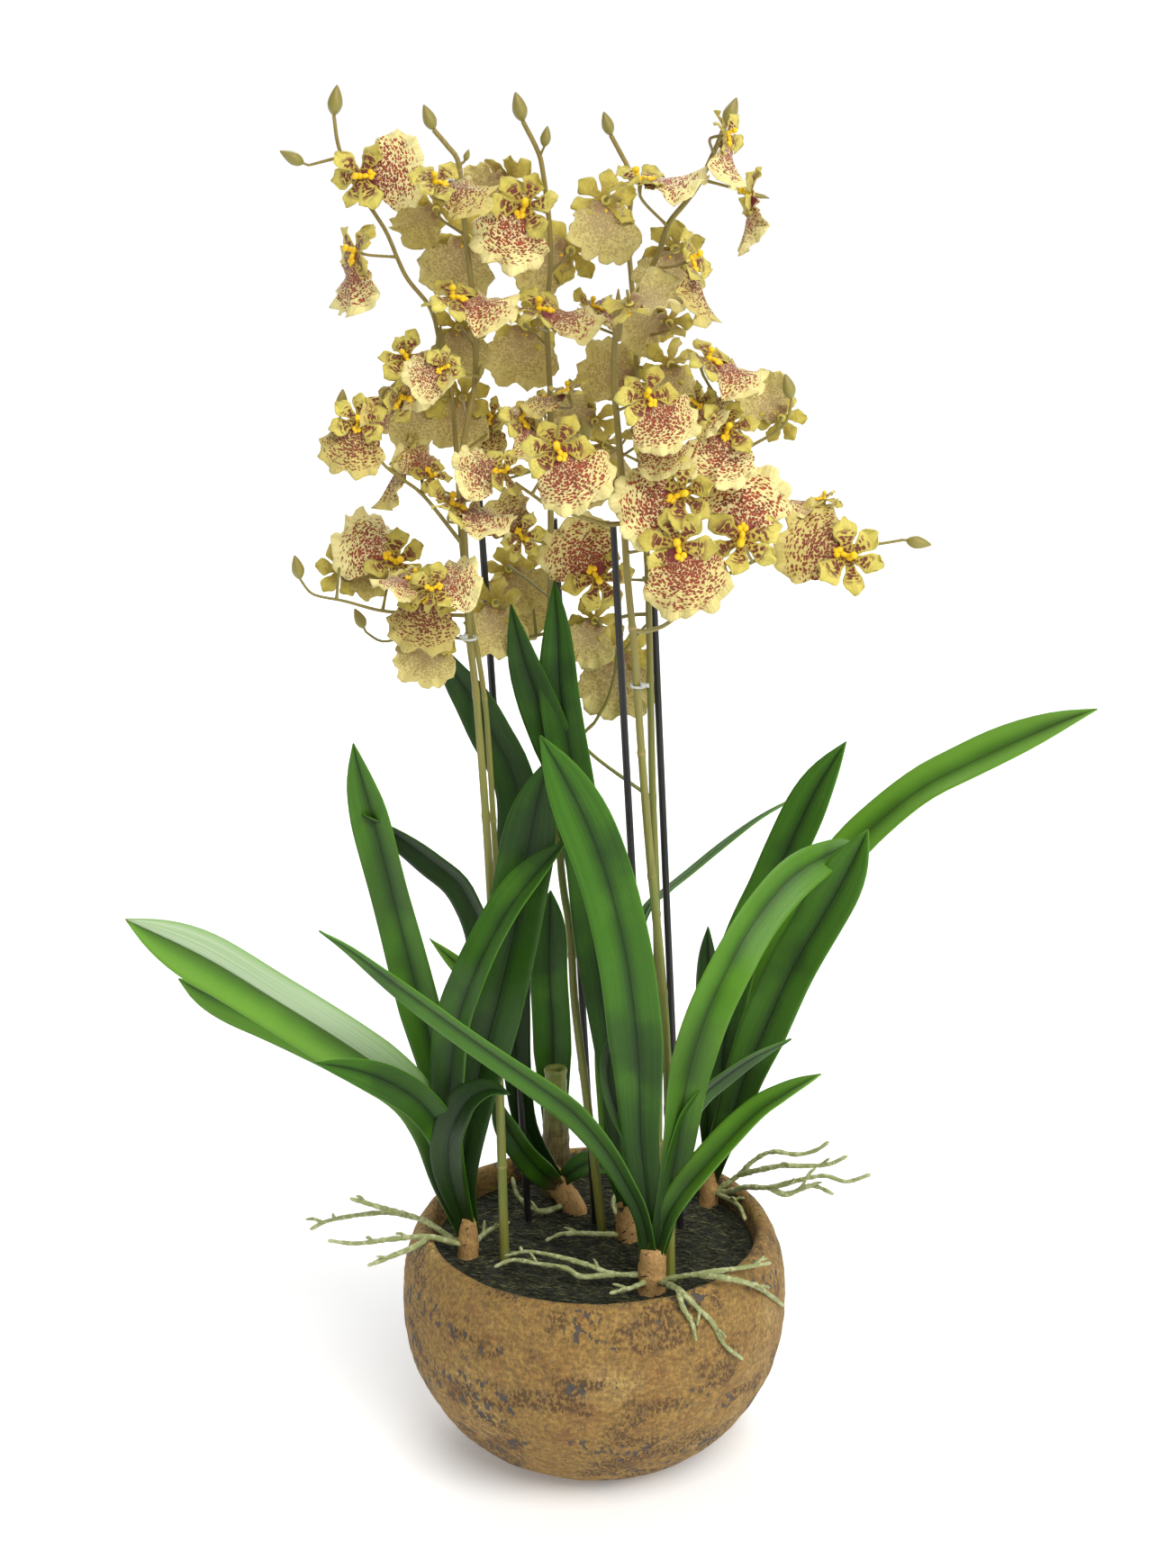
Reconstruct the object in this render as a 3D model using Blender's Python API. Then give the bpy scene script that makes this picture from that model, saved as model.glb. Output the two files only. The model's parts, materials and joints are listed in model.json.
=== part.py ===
"""A dancing lady orchid in an earthenware bowl: five leafy plants, a cut stump with its leaf, five
flower sprays, four support sticks, two ties, moss soil and the bowl. Blender 4.5, metres, +Z up.

Places along leaves and stems are (x, z) in mm as seen from the EYE on the upright plane through the bowl's
axis, with a depth in mm behind that plane. sight() slides such a place along its line of sight.
"""

import math

import bmesh
import bpy
from mathutils import Vector

MM = 0.001
EYE = Vector((-4.0, -2000.0, 1190.0))

# Driving sizes, mm
POT_PROFILE = [(58, 0), (84, 10), (104, 33), (117, 62), (121, 92), (119.5, 118), (114, 138), (110, 147)]
POT_RIM = [(107, 150), (104, 147.5), (102.5, 140)]
POT_FLOOR = 12
POT_SIDES = 24
SOIL_TOP = 135
SOIL_BOTTOM = 70
STAND_DEPTH = 14
GAP = 0.3
LEAF_THICK = 1.4
PETAL_THICK = 0.9
STICK_RADIUS = 2.2
SCRAP_FACES = 14

COLOURS = {
    "earthenware": ((0.42, 0.25, 0.11), 0.85),
    "moss_soil": ((0.02, 0.025, 0.012), 0.95),
    "leaf": ((0.06, 0.2, 0.03), 0.35),
    "sheath": ((0.42, 0.24, 0.11), 0.7),
    "root": ((0.42, 0.48, 0.24), 0.7),
    "stem": ((0.24, 0.26, 0.07), 0.5),
    "petal": ((0.72, 0.68, 0.3), 0.55),
    "column": ((0.85, 0.45, 0.02), 0.5),
    "stick": ((0.01, 0.01, 0.01), 0.4),
    "tie": ((0.8, 0.8, 0.78), 0.3),
}

# Plants: crown x, y, its radius, then leaves as (width, twist in degrees, fold, depths, places), and roots
PLANTS = {
    "plant_front": {
        "crown": (36, -62, 8.5, 22),
        "leaves": [
            (33, 8, 0.25, (-62, -84, -76), [(33, 170), (29, 210), (28, 250), (25, 290), (20, 330), (13, 365),
                                             (5, 395), (-6, 425), (-20, 455), (-33, 479)]),
            (27, -20, 0.4, (-62, -76, 5), [(44, 150), (52, 200), (58, 250), (68, 290), (82, 325), (100, 360),
                                            (122, 388), (145, 403), (158, 410)]),
            (22, 50, 0.3, (-62, -78, -90), [(45, 150), (55, 170), (70, 190), (100, 225), (120, 240), (142, 254)]),
            (18, -62, 0.2, (-62, -68, -50), [(45, 165), (55, 215), (65, 236), (80, 251), (100, 266), (123, 278)]),
            (20, 55, 0.25, (-62, -96, -118), [(30, 155), (20, 178), (8, 200), (-10, 224), (-30, 242), (-75, 277),
                                               (-120, 313), (-150, 338), (-170, 351)]),
            (16, -50, 0.2, (-62, -70, -64), [(30, 170), (24, 205), (14, 228), (9, 245), (8, 262), (13, 282),
                                              (17, 300), (16, 317)]),
        ],
        "roots": [
            [(35, 112, -63), (12, 113, -60), (-3, 119, -55), (-22, 125, -50), (-42, 129, -42), (-57, 126, -38)],
            [(13, 113, -60), (-8, 111, -64), (-18, 117, -62), (-34, 120, -56), (-52, 123, -52), (-64, 118, -54)],
            [(36, 108, -65), (24, 103, -78), (10, 99, -90)],
            [(40, 106, -64), (60, 112, -74), (78, 115, -76), (97, 118, -66), (113, 121, -60)],
            [(63, 112, -75), (85, 110, -84), (104, 104, -66), (122, 90, -36)],
            [(40, 105, -65), (54, 102, -98), (66, 89, -100), (76, 78, -96), (84, 62, -95), (96, 51, -86)],
            [(54, 102, -98), (57, 89, -104), (63, 78, -103), (65, 66, -107)],
        ],
    },
    "plant_left": {
        "crown": (-80, -15, 6.5, 20),
        "leaves": [
            (37, 10, 0.25, (-15, -34, -66), [(-94, 180), (-103, 215), (-118, 243), (-150, 270), (-200, 305),
                                              (-240, 332), (-289, 359)]),
            (26, 30, 0.2, (-12, 2, 0), [(-92, 180), (-103, 215), (-118, 240), (-150, 262), (-200, 290),
                                         (-240, 308), (-258, 319)]),
            (22, 15, 0.3, (-15, -50, -90), [(-89, 185), (-96, 214), (-109, 234), (-128, 248), (-150, 257),
                                              (-175, 262)]),
            (28, 32, 0.3, (-15, 6, 0), [(-91, 200), (-97, 250), (-103, 280), (-113, 325), (-125, 380),
                                         (-136, 430), (-141, 450), (-146, 474)]),
            (24, 50, 0.3, (-8, 22, 0), [(-84, 220), (-76, 290), (-68, 340), (-80, 378), (-100, 398), (-120, 414),
                                         (-142, 428)]),
            (26, 40, 0.4, (-15, -60, -62), [(-90, 200), (-90, 250), (-85, 290), (-75, 320), (-64, 345),
                                             (-50, 370), (-35, 390), (-17, 411)]),
            (34, 12, 0.25, (-15, -46, -42), [(-84, 180), (-78, 225), (-70, 265), (-60, 305), (-50, 350),
                                              (-42, 395), (-35, 435), (-27, 465)]),
            (23, 30, 0.3, (-15, -46, -66), [(-87, 165), (-92, 190), (-90, 215), (-80, 235), (-66, 243),
                                             (-53, 240)]),
            (16, 20, 0.2, (-10, 2, 0), [(-82, 200), (-72, 260), (-68, 295), (-73, 316), (-88, 332), (-102, 346)]),
        ],
        "roots": [
            [(-82, 132, -13), (-97, 143, -10), (-108, 151, -8), (-119, 155, -6), (-132, 157, -4), (-152, 155, 0),
             (-170, 151, 4), (-181, 145, 6)],
            [(-119, 155, -7), (-134, 160, -14), (-155, 167, -18)],
            [(-82, 131, -18), (-95, 137, -24), (-107, 140, -28), (-130, 138, -30), (-152, 135, -30), (-170, 137, -32)],
            [(-106, 140, -28), (-114, 133, -38), (-127, 127, -42), (-145, 119, -48)],
            [(-79, 132, -13), (-70, 142, 0), (-60, 148, 8), (-54, 150, 12)],
        ],
    },
    "plant_right": {
        "crown": (75, 57, 6, 22),
        "leaves": [
            (31, 12, 0.25, (57, 10, -34), [(78, 200), (85, 220), (95, 255), (108, 290), (122, 325), (140, 360),
                                            (155, 390), (167, 418)]),
            (27, 15, 0.25, (57, 40, 14), [(79, 210), (80, 260), (85, 315), (95, 350), (108, 380), (120, 410),
                                           (135, 445), (152, 475)]),
            (22, 40, 0.25, (57, 62, 58), [(74, 200), (73, 240), (74, 280), (72, 320), (70, 354)]),
            (26, 30, 0.3, (57, 56, 40), [(82, 215), (88, 250), (105, 310), (130, 365), (155, 403), (175, 425),
                                          (200, 446), (225, 460), (250, 473), (280, 487), (303, 496)]),
        ],
        "roots": [
            [(78, 168, 55), (82, 176, 54), (92, 184, 52), (100, 193, 48), (112, 200, 44), (128, 198, 40), (140, 201, 38),
             (148, 207, 36)],
            [(92, 184, 52), (104, 187, 42), (118, 190, 34), (133, 190, 30), (148, 191, 26), (160, 197, 24)],
            [(79, 165, 53), (86, 172, 46), (96, 175, 34), (112, 175, 20), (130, 180, 10), (146, 183, 4), (160, 179, 0),
             (175, 184, -4)],
            [(112, 175, 22), (122, 170, 22), (138, 176, 22), (152, 170, 20)],
            [(78, 164, 52), (88, 165, 38), (93, 160, 28), (96, 152, 14)],
        ],
    },
    "plant_middle": {
        "crown": (21, 5, 7, 20),
        "leaves": [
            (25, 12, 0.3, (5, -8, 2), [(17, 200), (12, 250), (6, 300), (0, 350), (-5, 400), (-12, 450),
                                        (-17, 480), (-21, 510), (-22, 545), (-24, 577)]),
            (26, 20, 0.3, (8, 4, -6), [(15, 220), (8, 300), (0, 370), (-15, 450), (-25, 478), (-35, 505),
                                        (-43, 530), (-50, 562)]),
            (9, 10, 0.2, (5, 10, 12), [(10, 190), (6, 240), (2, 290)]),
            (16, 74, 0.2, (6, 52, 84), [(18, 200), (17, 260), (22, 320), (32, 363), (45, 377), (60, 390),
                                         (80, 408), (100, 425), (118, 437)]),
            (9, 5, 0.3, (0, -16, -14), [(20, 180), (20, 220), (13, 267)]),
        ],
        "roots": [
            [(19, 140, 3), (-4, 142, -6), (-20, 142, -8), (-31, 137, -10)],
            [(21, 143, 7), (14, 156, 26), (12, 164, 40), (14, 172, 54)],
        ],
    },
    "plant_back": {
        "crown": (-12, 45, 7.5, 20),
        "leaves": [
            (26, 12, 0.3, (45, 4, -14), [(-32, 220), (-36, 265), (-38, 295), (-41, 325), (-40, 380), (-41, 435),
                                          (-50, 460), (-62, 480), (-72, 500), (-85, 520), (-97, 542)]),
            (18, 30, 0.25, (30, 4, 2), [(-30, 182), (-45, 200), (-57, 222), (-62, 240)]),
            (16, 30, 0.25, (45, 48, 48), [(-14, 186), (-2, 192), (11, 186)]),
        ],
        "roots": [
            [(-16, 162, 40), (-34, 158, 30), (-48, 168, 40), (-52, 182, 54)],
        ],
    },
}
CROWN_LEAN = {"plant_back": (-14, 6)}

# Cut stump: foot x and y, top height, foot and top radius, hole radius and depth, and the leaf behind it
STUMP = (-25, 73, 224, 10, 7, 3.6, 12)
STUMP_LEAF = (25, 10, 0.3, (82, 90, 90), [(-24, 190), (-25, 230), (-26, 280), (-28, 330), (-27, 378)])

# Sticks: foot x and y on the soil, then the top place
STICKS = {
    "stick_left": ((-42, 32), (-68, 628, 22)),
    "stick_middle": ((1, 30), (-24, 615, 22)),
    "stick_front": ((38, -38), (11, 610, -36)),
    "stick_right": ((56, 22), (34, 590, 40)),
}

# Sprays: stems and side branches as (radius, end, places). end is the bud's length at the tip, or 0.
# Blooms are (x, z, depth, picture angle of the lip, lean to the eye, roll about the lip, size).
SPRAYS = {
    "spray_far_left": {
        "stems": [
            (2.0, 17, [(-57, 137, 0), (-60, 260, -12), (-60, 370, -14), (-62, 430, -16), (-66, 500, -16),
                       (-74, 557, -14), (-79, 600, -10), (-81, 650, -8), (-84, 694, -8), (-90, 720, -8),
                       (-95, 741, -8), (-109, 760, -8), (-119, 784, -8), (-126, 796, -8), (-139, 816, -6),
                       (-146, 835, -4), (-148, 854, -2), (-146, 869, 0)]),
            (1.2, 15, [(-144, 829, -4), (-152, 827, -4), (-164, 824, -4), (-179, 832, -4)]),
            (1.5, 0, [(-80, 600, -10), (-100, 628, -26), (-113, 639, -32), (-124, 648, -38), (-132, 662, -40)]),
            (1.2, 14, [(-132, 660, -40), (-147, 669, -32), (-149, 678, -30), (-147, 693, -30)]),
        ],
        "blooms": [
            (-133, 818, -16, 8, 10, 0, 1.0),
            (-135, 771, -24, -100, 0, 62, 1.0),
            (-109, 712, -34, -60, 25, 10, 0.85),
            (-115, 689, -44, -122, 10, -66, 0.95),
            (-140, 672, -62, -108, 5, 8, 1.0),
            (-100, 693, -10, -128, 0, 172, 0.95),
            (-110, 654, -12, -120, -10, 85, 0.95),
        ],
    },
    "spray_left": {
        "stems": [
            (2.7, 15, [(-57, 123, -26), (-60, 260, -24), (-65, 400, -26), (-71, 500, -26), (-75, 542, -26),
                       (-76, 577, -26), (-77, 600, -26), (-78, 647, -26), (-74, 677, -24), (-70, 696, -22),
                       (-69, 734, -20), (-71, 752, -20), (-74, 782, -20), (-76, 805, -20), (-78, 826, -20),
                       (-84, 835, -18), (-92, 845, -16), (-97, 858, -14)]),
            (1.4, 15, [(-76, 555, -26), (-102, 556, -22), (-127, 558, -18), (-149, 564, -16), (-164, 567, -16),
                       (-170, 570, -16), (-175, 577, -16), (-178, 592, -16)]),
            (1.2, 7, [(-77, 824, -20), (-74, 827, -20), (-72, 833, -20)]),
            (1.0, 8, [(-70, 692, -22), (-67, 700, -26), (-66, 708, -28)]),
        ],
        "blooms": [
            (-91, 799, 4, 215, -10, 150, 0.75),
            (-91, 813, -44, -12, 0, -58, 0.9),
            (-73, 782, 12, -112, 0, 178, 1.0),
            (-82, 746, -40, -8, 0, -62, 1.0),
            (-79, 730, 8, -88, 0, 170, 0.8),
            (-88, 706, -64, -150, 20, 0, 0.65),
            (-77, 688, 14, -100, 0, 180, 0.85),
            (-60, 676, 16, -115, 10, 35, 0.7),
            (-84, 622, -54, -18, 0, -68, 1.0),
            (-119, 588, -2, 145, 0, 25, 1.05),
            (-151, 584, 2, 0, 0, 175, 0.85),
            (-108, 578, -46, -165, 40, 60, 0.7),
            (-96, 571, -66, 20, 10, -30, 0.8),
            (-99, 568, -34, -100, 10, 0, 0.95),
            (-98, 543, -26, -105, 5, 172, 0.85),
        ],
    },
    "spray_middle": {
        "stems": [
            (2.5, 17, [(6, 143, 14), (-4, 230, 10), (-12, 300, 10), (-15, 350, 10), (-21, 400, 10), (-26, 520, 14),
                       (-26, 624, 10), (-26, 686, 8), (-27, 711, 6), (-28, 740, 6), (-26, 761, 6), (-26, 788, 6),
                       (-30, 822, 6), (-33, 833, 6), (-41, 849, 6), (-45, 865, 6)]),
            (1.0, 12, [(-32, 829, 6), (-29, 834, 4), (-27, 846, 4)]),
        ],
        "blooms": [
            (-49, 816, 22, 200, -10, 150, 0.85),
            (-40, 801, -24, -118, 0, 8, 1.05),
            (-14, 775, 30, 195, 0, 172, 1.0),
            (-32, 739, -24, -8, 0, -68, 1.0),
            (-40, 731, 30, -98, 0, 180, 1.0),
            (-16, 691, -26, -165, 0, 75, 0.75),
            (-30, 683, 34, -160, 20, 60, 0.8),
            (-44, 674, -30, -48, 10, -60, 0.85),
            (-54, 643, -56, 178, 15, 30, 0.8),
            (-36, 593, -6, 120, 20, 20, 0.75),
            (-51, 584, 50, -60, 0, 170, 0.8),
        ],
    },
    "spray_front": {
        "stems": [
            (2.7, 16, [(49, 108, -50), (47, 220, -48), (44, 290, -48), (39, 350, -48), (34, 400, -48),
                       (29, 460, -48), (24, 530, -50), (20, 573, -50), (18, 600, -50), (16, 640, -50),
                       (13, 675, -50), (11, 700, -50), (13, 731, -50), (22, 745, -48), (36, 772, -44),
                       (42, 790, -42), (52, 803, -40), (59, 813, -40), (68, 832, -38), (74, 847, -38),
                       (80, 862, -36)]),
            (1.7, 0, [(17, 612, -50), (5, 612, -54), (-10, 617, -58), (-26, 622, -62), (-36, 629, -64),
                      (-47, 637, -64)]),
            (1.5, 15, [(17, 628, -50), (39, 633, -30), (62, 640, -24), (72, 643, -24), (90, 658, -26),
                       (105, 667, -28), (112, 674, -28), (115, 686, -28), (111, 702, -28)]),
            (1.6, 15, [(22, 545, -50), (34, 546, -36), (46, 552, -24), (69, 574, -24), (107, 594, -26),
                       (140, 598, -28), (164, 599, -28), (183, 602, -28), (199, 599, -28)]),
        ],
        "blooms": [
            (26, 814, -62, 4, 0, -80, 1.0),
            (76, 841, -60, -62, 0, -72, 0.8),
            (84, 808, -40, 20, 10, 140, 0.75),
            (46, 776, -20, -104, 0, 168, 0.95),
            (54, 769, -66, -70, 0, -78, 1.0),
            (20, 744, -74, 10, 0, 125, 0.85),
            (-22, 658, -82, -60, 5, 0, 1.05),
            (30, 689, -76, -51, 5, -20, 0.95),
            (31, 667, -58, -50, 15, -30, 0.8),
            (60, 684, -40, -40, 45, 0, 0.7),
            (78, 670, -54, -105, 0, 0, 0.95),
            (109, 676, -12, 130, 0, 178, 0.8),
            (66, 710, -42, -22, 0, -65, 0.95),
            (51, 630, -66, -155, 0, 0, 1.1),
            (87, 602, -60, 85, 0, 0, 1.2),
            (49, 599, -78, -75, 0, 0, 1.15),
            (150, 591, -54, 154, 0, 15, 1.15),
            (135, 626, -30, 185, 0, 75, 0.65),
        ],
    },
    "spray_back": {
        "stems": [
            (2.5, 14, [(40, 148, 26), (40, 260, 28), (38, 370, 30), (35, 450, 30), (33, 530, 30), (31, 590, 30),
                       (28, 630, 26), (25, 690, 22), (23, 736, 20), (21, 758, 20), (19, 785, 20), (21, 810, 20),
                       (19, 822, 20), (15, 830, 20), (9, 841, 20), (5, 854, 20)]),
            (1.4, 14, [(32, 556, 30), (20, 555, 38), (1, 550, 40), (-21, 546, 42), (-37, 542, 44), (-60, 538, 46),
                       (-92, 542, 40), (-117, 540, 34), (-128, 539, 32), (-137, 545, 30), (-143, 559, 28)]),
            (1.1, 7, [(20, 816, 20), (23, 817, 20), (24, 823, 20)]),
            (1.0, 14, [(26, 676, 22), (12, 656, 8), (-4, 653, -2), (-4, 663, -4), (-8, 676, -4)]),
            (1.4, 0, [(-8, 440, 40), (-6, 472, 42), (1, 489, 44), (8, 503, 46), (16, 530, 40), (33, 552, 32)]),
        ],
        "blooms": [
            (6, 804, -1, -95, 18, 160, 1.0),
            (-1, 741, 34, -14, 0, -70, 0.8),
            (44, 708, -6, -95, -10, 150, 0.9),
            (11, 688, 25, 155, 0, 168, 0.85),
            (6, 660, 34, -100, -10, 150, 0.8),
            (2, 644, -10, -70, 40, 0, 0.7),
            (2, 578, 0, 125, 0, 0, 1.1),
            (-40, 581, 74, -110, 10, 175, 1.1),
            (-59, 563, 6, -95, 0, 165, 0.9),
            (13, 533, 62, -88, 5, 180, 1.15),
            (36, 574, 21, 60, -10, 110, 0.6),
        ],
    },
}

# Ties: place of the ring round a stem, its radius, and the knot's place
TIES = {
    "tie_left": ((-75, 541, -26), 3.9, (-78.5, 542, -30)),
    "tie_right": ((26, 511, -48.5), 3.9, (30, 511, -52.5)),
}

PEDICEL_RADIUS = 1.1
STALK_REACH = 9
HUB_RADIUS = 4
PETAL_LENGTH = 18
PETAL_END = 5
PETAL_ANGLES = (62, 121, 180, 239, 298)
VALLEY_ANGLES = (31, 90, 150, 210, 270, 329)
LIP_OUTLINE = [(14, 9, 2), (22, 23, -2), (10, 37, 1.5), (-10, 37, -1), (-22, 23, 2), (-14, 9, -2)]
LIP_MIDDLE = (0, 18, 2)
COLUMN_HEIGHT = 7.5


def clear_scene():
    for thing in list(bpy.data.objects):
        bpy.data.objects.remove(thing)


def material(name):
    found = bpy.data.materials.get(name)
    if found:
        return found
    made = bpy.data.materials.new(name)
    made.use_nodes = True
    colour, roughness = COLOURS[name]
    shader = made.node_tree.nodes["Principled BSDF"]
    shader.inputs["Base Color"].default_value = (*colour, 1)
    shader.inputs["Roughness"].default_value = roughness
    return made


def add_object(name, points, faces, slots, marks=None):
    """Makes a mesh object from places in mm. marks gives each face's slot number."""
    mesh = bpy.data.meshes.new(name)
    mesh.from_pydata([Vector(point) * MM for point in points], [], faces)
    for slot in slots:
        mesh.materials.append(material(slot))
    if marks:
        mesh.polygons.foreach_set("material_index", marks)
    mesh.update()
    made = bpy.data.objects.new(name, mesh)
    bpy.context.scene.collection.objects.link(made)
    return made


def sight(x, z, depth=0.0):
    seen = Vector((x, 0.0, z))
    return EYE + (seen - EYE) * (1 + depth / -EYE.y)


def smooth_path(points, count):
    """count places at even steps along a smooth curve through the given ones."""
    ends = [points[0] * 2 - points[1], *points, points[-1] * 2 - points[-2]]
    fine = []
    for a, b, c, d in zip(ends, ends[1:], ends[2:], ends[3:]):
        for step in range(12):
            t = step / 12
            fine.append(0.5 * (2 * b + (c - a) * t + (2 * a - 5 * b + 4 * c - d) * t * t
                               + (3 * b - a - 3 * c + d) * t ** 3))
    fine.append(points[-1])
    lengths = [0.0]
    for a, b in zip(fine, fine[1:]):
        lengths.append(lengths[-1] + (b - a).length)
    path = []
    place = 0
    for station in range(count):
        goal = lengths[-1] * station / (count - 1)
        while place < len(fine) - 2 and lengths[place + 1] < goal:
            place += 1
        span = max(lengths[place + 1] - lengths[place], 1e-9)
        path.append(fine[place].lerp(fine[place + 1], (goal - lengths[place]) / span))
    return path


def tangents(path):
    last = len(path) - 1
    return [(path[min(i + 1, last)] - path[max(i - 1, 0)]).normalized() for i in range(last + 1)]


def tube(path, radii, sides):
    """A closed round rod: places and faces."""
    ways = tangents(path)
    across = ways[0].orthogonal().normalized()
    points = []
    for place, way, radius in zip(path, ways, radii):
        across = (across - way * across.dot(way)).normalized()
        other = way.cross(across)
        for side in range(sides):
            turn = 2 * math.pi * side / sides
            points.append(place + (across * math.cos(turn) + other * math.sin(turn)) * radius)
    faces = [tuple(reversed(range(sides)))]
    for ring in range(len(path) - 1):
        first = ring * sides
        for side in range(sides):
            after = (side + 1) % sides
            faces.append((first + side, first + after, first + sides + after, first + sides + side))
    faces.append(tuple(range((len(path) - 1) * sides, len(path) * sides)))
    return points, faces


def leaf_width(along):
    """Share of the full width, from the narrow foot to the pointed tip."""
    foot = 0.42 + 0.58 * min(along / 0.45, 1.0) ** 1.2
    tip = 1.0 if along < 0.6 else 1 - ((along - 0.6) / 0.4) ** 2.6
    return max(foot * tip, 0.06)


def blade(path, width, twist, fold):
    """A strap leaf with a folded midrib, of even thickness, with both faces split alike."""
    points = []
    ways = tangents(path)
    for station, (place, way) in enumerate(zip(path, ways)):
        along = station / (len(path) - 1)
        half = 0.5 * width * leaf_width(along)
        view = (EYE - place).normalized()
        flat = way.cross(view).normalized()
        face = flat.cross(way)
        turn = math.radians(twist) * min(1.0, 0.3 + along)
        across = flat * math.cos(turn) + face * math.sin(turn)
        normal = face * math.cos(turn) - flat * math.sin(turn)
        lift = normal * (half * fold)
        thick = normal * (LEAF_THICK / 2)
        edges = (place - across * half + lift, place, place + across * half + lift)
        points += [edge + thick for edge in edges] + [edge - thick for edge in reversed(edges)]
    faces = [(5, 4, 1, 0), (4, 3, 2, 1)]
    for ring in range(len(path) - 1):
        first = ring * 6
        for side in range(6):
            after = (side + 1) % 6
            a, b, c, d = first + side, first + after, first + 6 + after, first + 6 + side
            if side in (0, 2, 3, 5):
                split = side in (0, 3)
                faces += [(a, b, c), (a, c, d)] if split else [(a, b, d), (b, c, d)]
            else:
                faces += [(a, b, c), (a, c, d)] if side == 1 else [(a, b, d), (b, c, d)]
    last = (len(path) - 1) * 6
    faces += [(last, last + 1, last + 4, last + 5), (last + 1, last + 2, last + 3, last + 4)]
    return points, faces


def turn_outwards(points, faces):
    """Flips the faces of a closed shape that came out inside out."""
    volume = 0.0
    for face in faces:
        a = points[face[0]]
        for b, c in zip(face[1:], face[2:]):
            volume += a.dot(points[b].cross(points[c]))
    return faces if volume > 0 else [tuple(reversed(face)) for face in faces]


def solid(name, shape, slot):
    points, faces = shape
    return add_object(name, points, turn_outwards(points, faces), [slot])


def fuse(name, pieces):
    """Joins overlapping pieces into one body by a union on a collection."""
    base = pieces[0]
    base.name = name
    for piece in pieces[1:]:
        for held in piece.data.materials:
            if held.name not in base.data.materials:
                base.data.materials.append(held)
    group = bpy.data.collections.new(name + "_repeats")
    bpy.context.scene.collection.children.link(group)
    for piece in pieces[1:]:
        bpy.context.scene.collection.objects.unlink(piece)
        group.objects.link(piece)
    union = base.modifiers.new("union", "BOOLEAN")
    union.operation = "UNION"
    union.operand_type = "COLLECTION"
    union.collection = group
    union.solver = "EXACT"
    union.material_mode = "TRANSFER"
    bpy.context.view_layer.objects.active = base
    bpy.ops.object.modifier_apply(modifier=union.name)
    for piece in list(group.objects):
        bpy.data.objects.remove(piece)
    bpy.data.collections.remove(group)
    drop_scraps(base.data)
    return base


def is_closed(patch):
    """Whether each edge of these faces lies between two of them."""
    for face in patch:
        for edge in face.edges:
            if sum(near in patch for near in edge.link_faces) != 2:
                return False
    return True


def drop_scraps(mesh):
    """Removes the crumbs of a few faces that a union can leave on or beside the body."""
    shape = bmesh.new()
    shape.from_mesh(mesh)
    waiting = set(shape.faces)
    crumbs = []
    while waiting:
        patch = {waiting.pop()}
        front = list(patch)
        while front:
            for edge in front.pop().edges:
                if len(edge.link_faces) != 2:
                    continue
                for face in edge.link_faces:
                    if face not in patch:
                        patch.add(face)
                        front.append(face)
        waiting -= patch
        if len(patch) < SCRAP_FACES and is_closed(patch):
            crumbs += patch
    bmesh.ops.delete(shape, geom=crumbs, context="FACES")
    shape.to_mesh(mesh)
    shape.free()


def turned(name, profile, sides, slot):
    """A closed body of revolution about the Z axis, from its outline's (radius, height) points."""
    points = []
    for radius, height in profile:
        for side in range(sides):
            turn = 2 * math.pi * side / sides
            points.append(Vector((radius * math.cos(turn), radius * math.sin(turn), height)))
    faces = [tuple(reversed(range(sides)))]
    for ring in range(len(profile) - 1):
        for side in range(sides):
            after = (side + 1) % sides
            faces.append((ring * sides + side, ring * sides + after, (ring + 1) * sides + after,
                          (ring + 1) * sides + side))
    faces.append(tuple(range((len(profile) - 1) * sides, len(profile) * sides)))
    return add_object(name, points, turn_outwards(points, faces), [slot])


def add_pot():
    inside = [(102, 125), (98, 80), (84, 35), (60, POT_FLOOR)]
    turned("pot", POT_PROFILE + POT_RIM + inside, POT_SIDES, "earthenware")


def stem_feet():
    """Places where something stands in the soil: x, y, hole radius."""
    feet = []
    for name, plant in PLANTS.items():
        x, y, radius, _ = plant["crown"]
        feet.append((x, y, radius + 1.8))
    x, y, _, radius, _, _, _ = STUMP
    feet.append((x, y, radius + 9))
    for (x, y), _ in STICKS.values():
        feet.append((x, y, STICK_RADIUS + 1.2))
    for spray in SPRAYS.values():
        radius, _, places = spray["stems"][0]
        foot = sight(*places[0])
        feet.append((foot.x, foot.y, radius + 1.8))
    return feet


def add_soil():
    soil = turned("soil", [(94, SOIL_BOTTOM), (101.2, SOIL_TOP - 12), (101.4, SOIL_TOP - 1), (100, SOIL_TOP)],
                  POT_SIDES, "moss_soil")
    for number, (x, y, radius) in enumerate(stem_feet()):
        path = [Vector((x, y, SOIL_TOP - STAND_DEPTH - GAP)), Vector((x, y, SOIL_TOP + 5))]
        cutter = solid(f"hole_{number}", tube(path, [radius] * 2, 8), "moss_soil")
        cut = soil.modifiers.new("hole", "BOOLEAN")
        cut.operation = "DIFFERENCE"
        cut.object = cutter
        bpy.context.view_layer.objects.active = soil
        bpy.ops.object.modifier_apply(modifier=cut.name)
        bpy.data.objects.remove(cutter)


def depth_along(depths, along):
    first, middle, last = depths
    if along < 0.5:
        return first + (middle - first) * along * 2
    return middle + (last - middle) * (along * 2 - 1)


def leaf_path(start, depths, places):
    """Smooth path of a leaf from its crown through its seen places."""
    path = [start]
    for number, (x, z) in enumerate(places):
        path.append(sight(x, z, depth_along(depths, (number + 1) / len(places))))
    return smooth_path(path, 4 + round(0.4 * len(places)))


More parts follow.
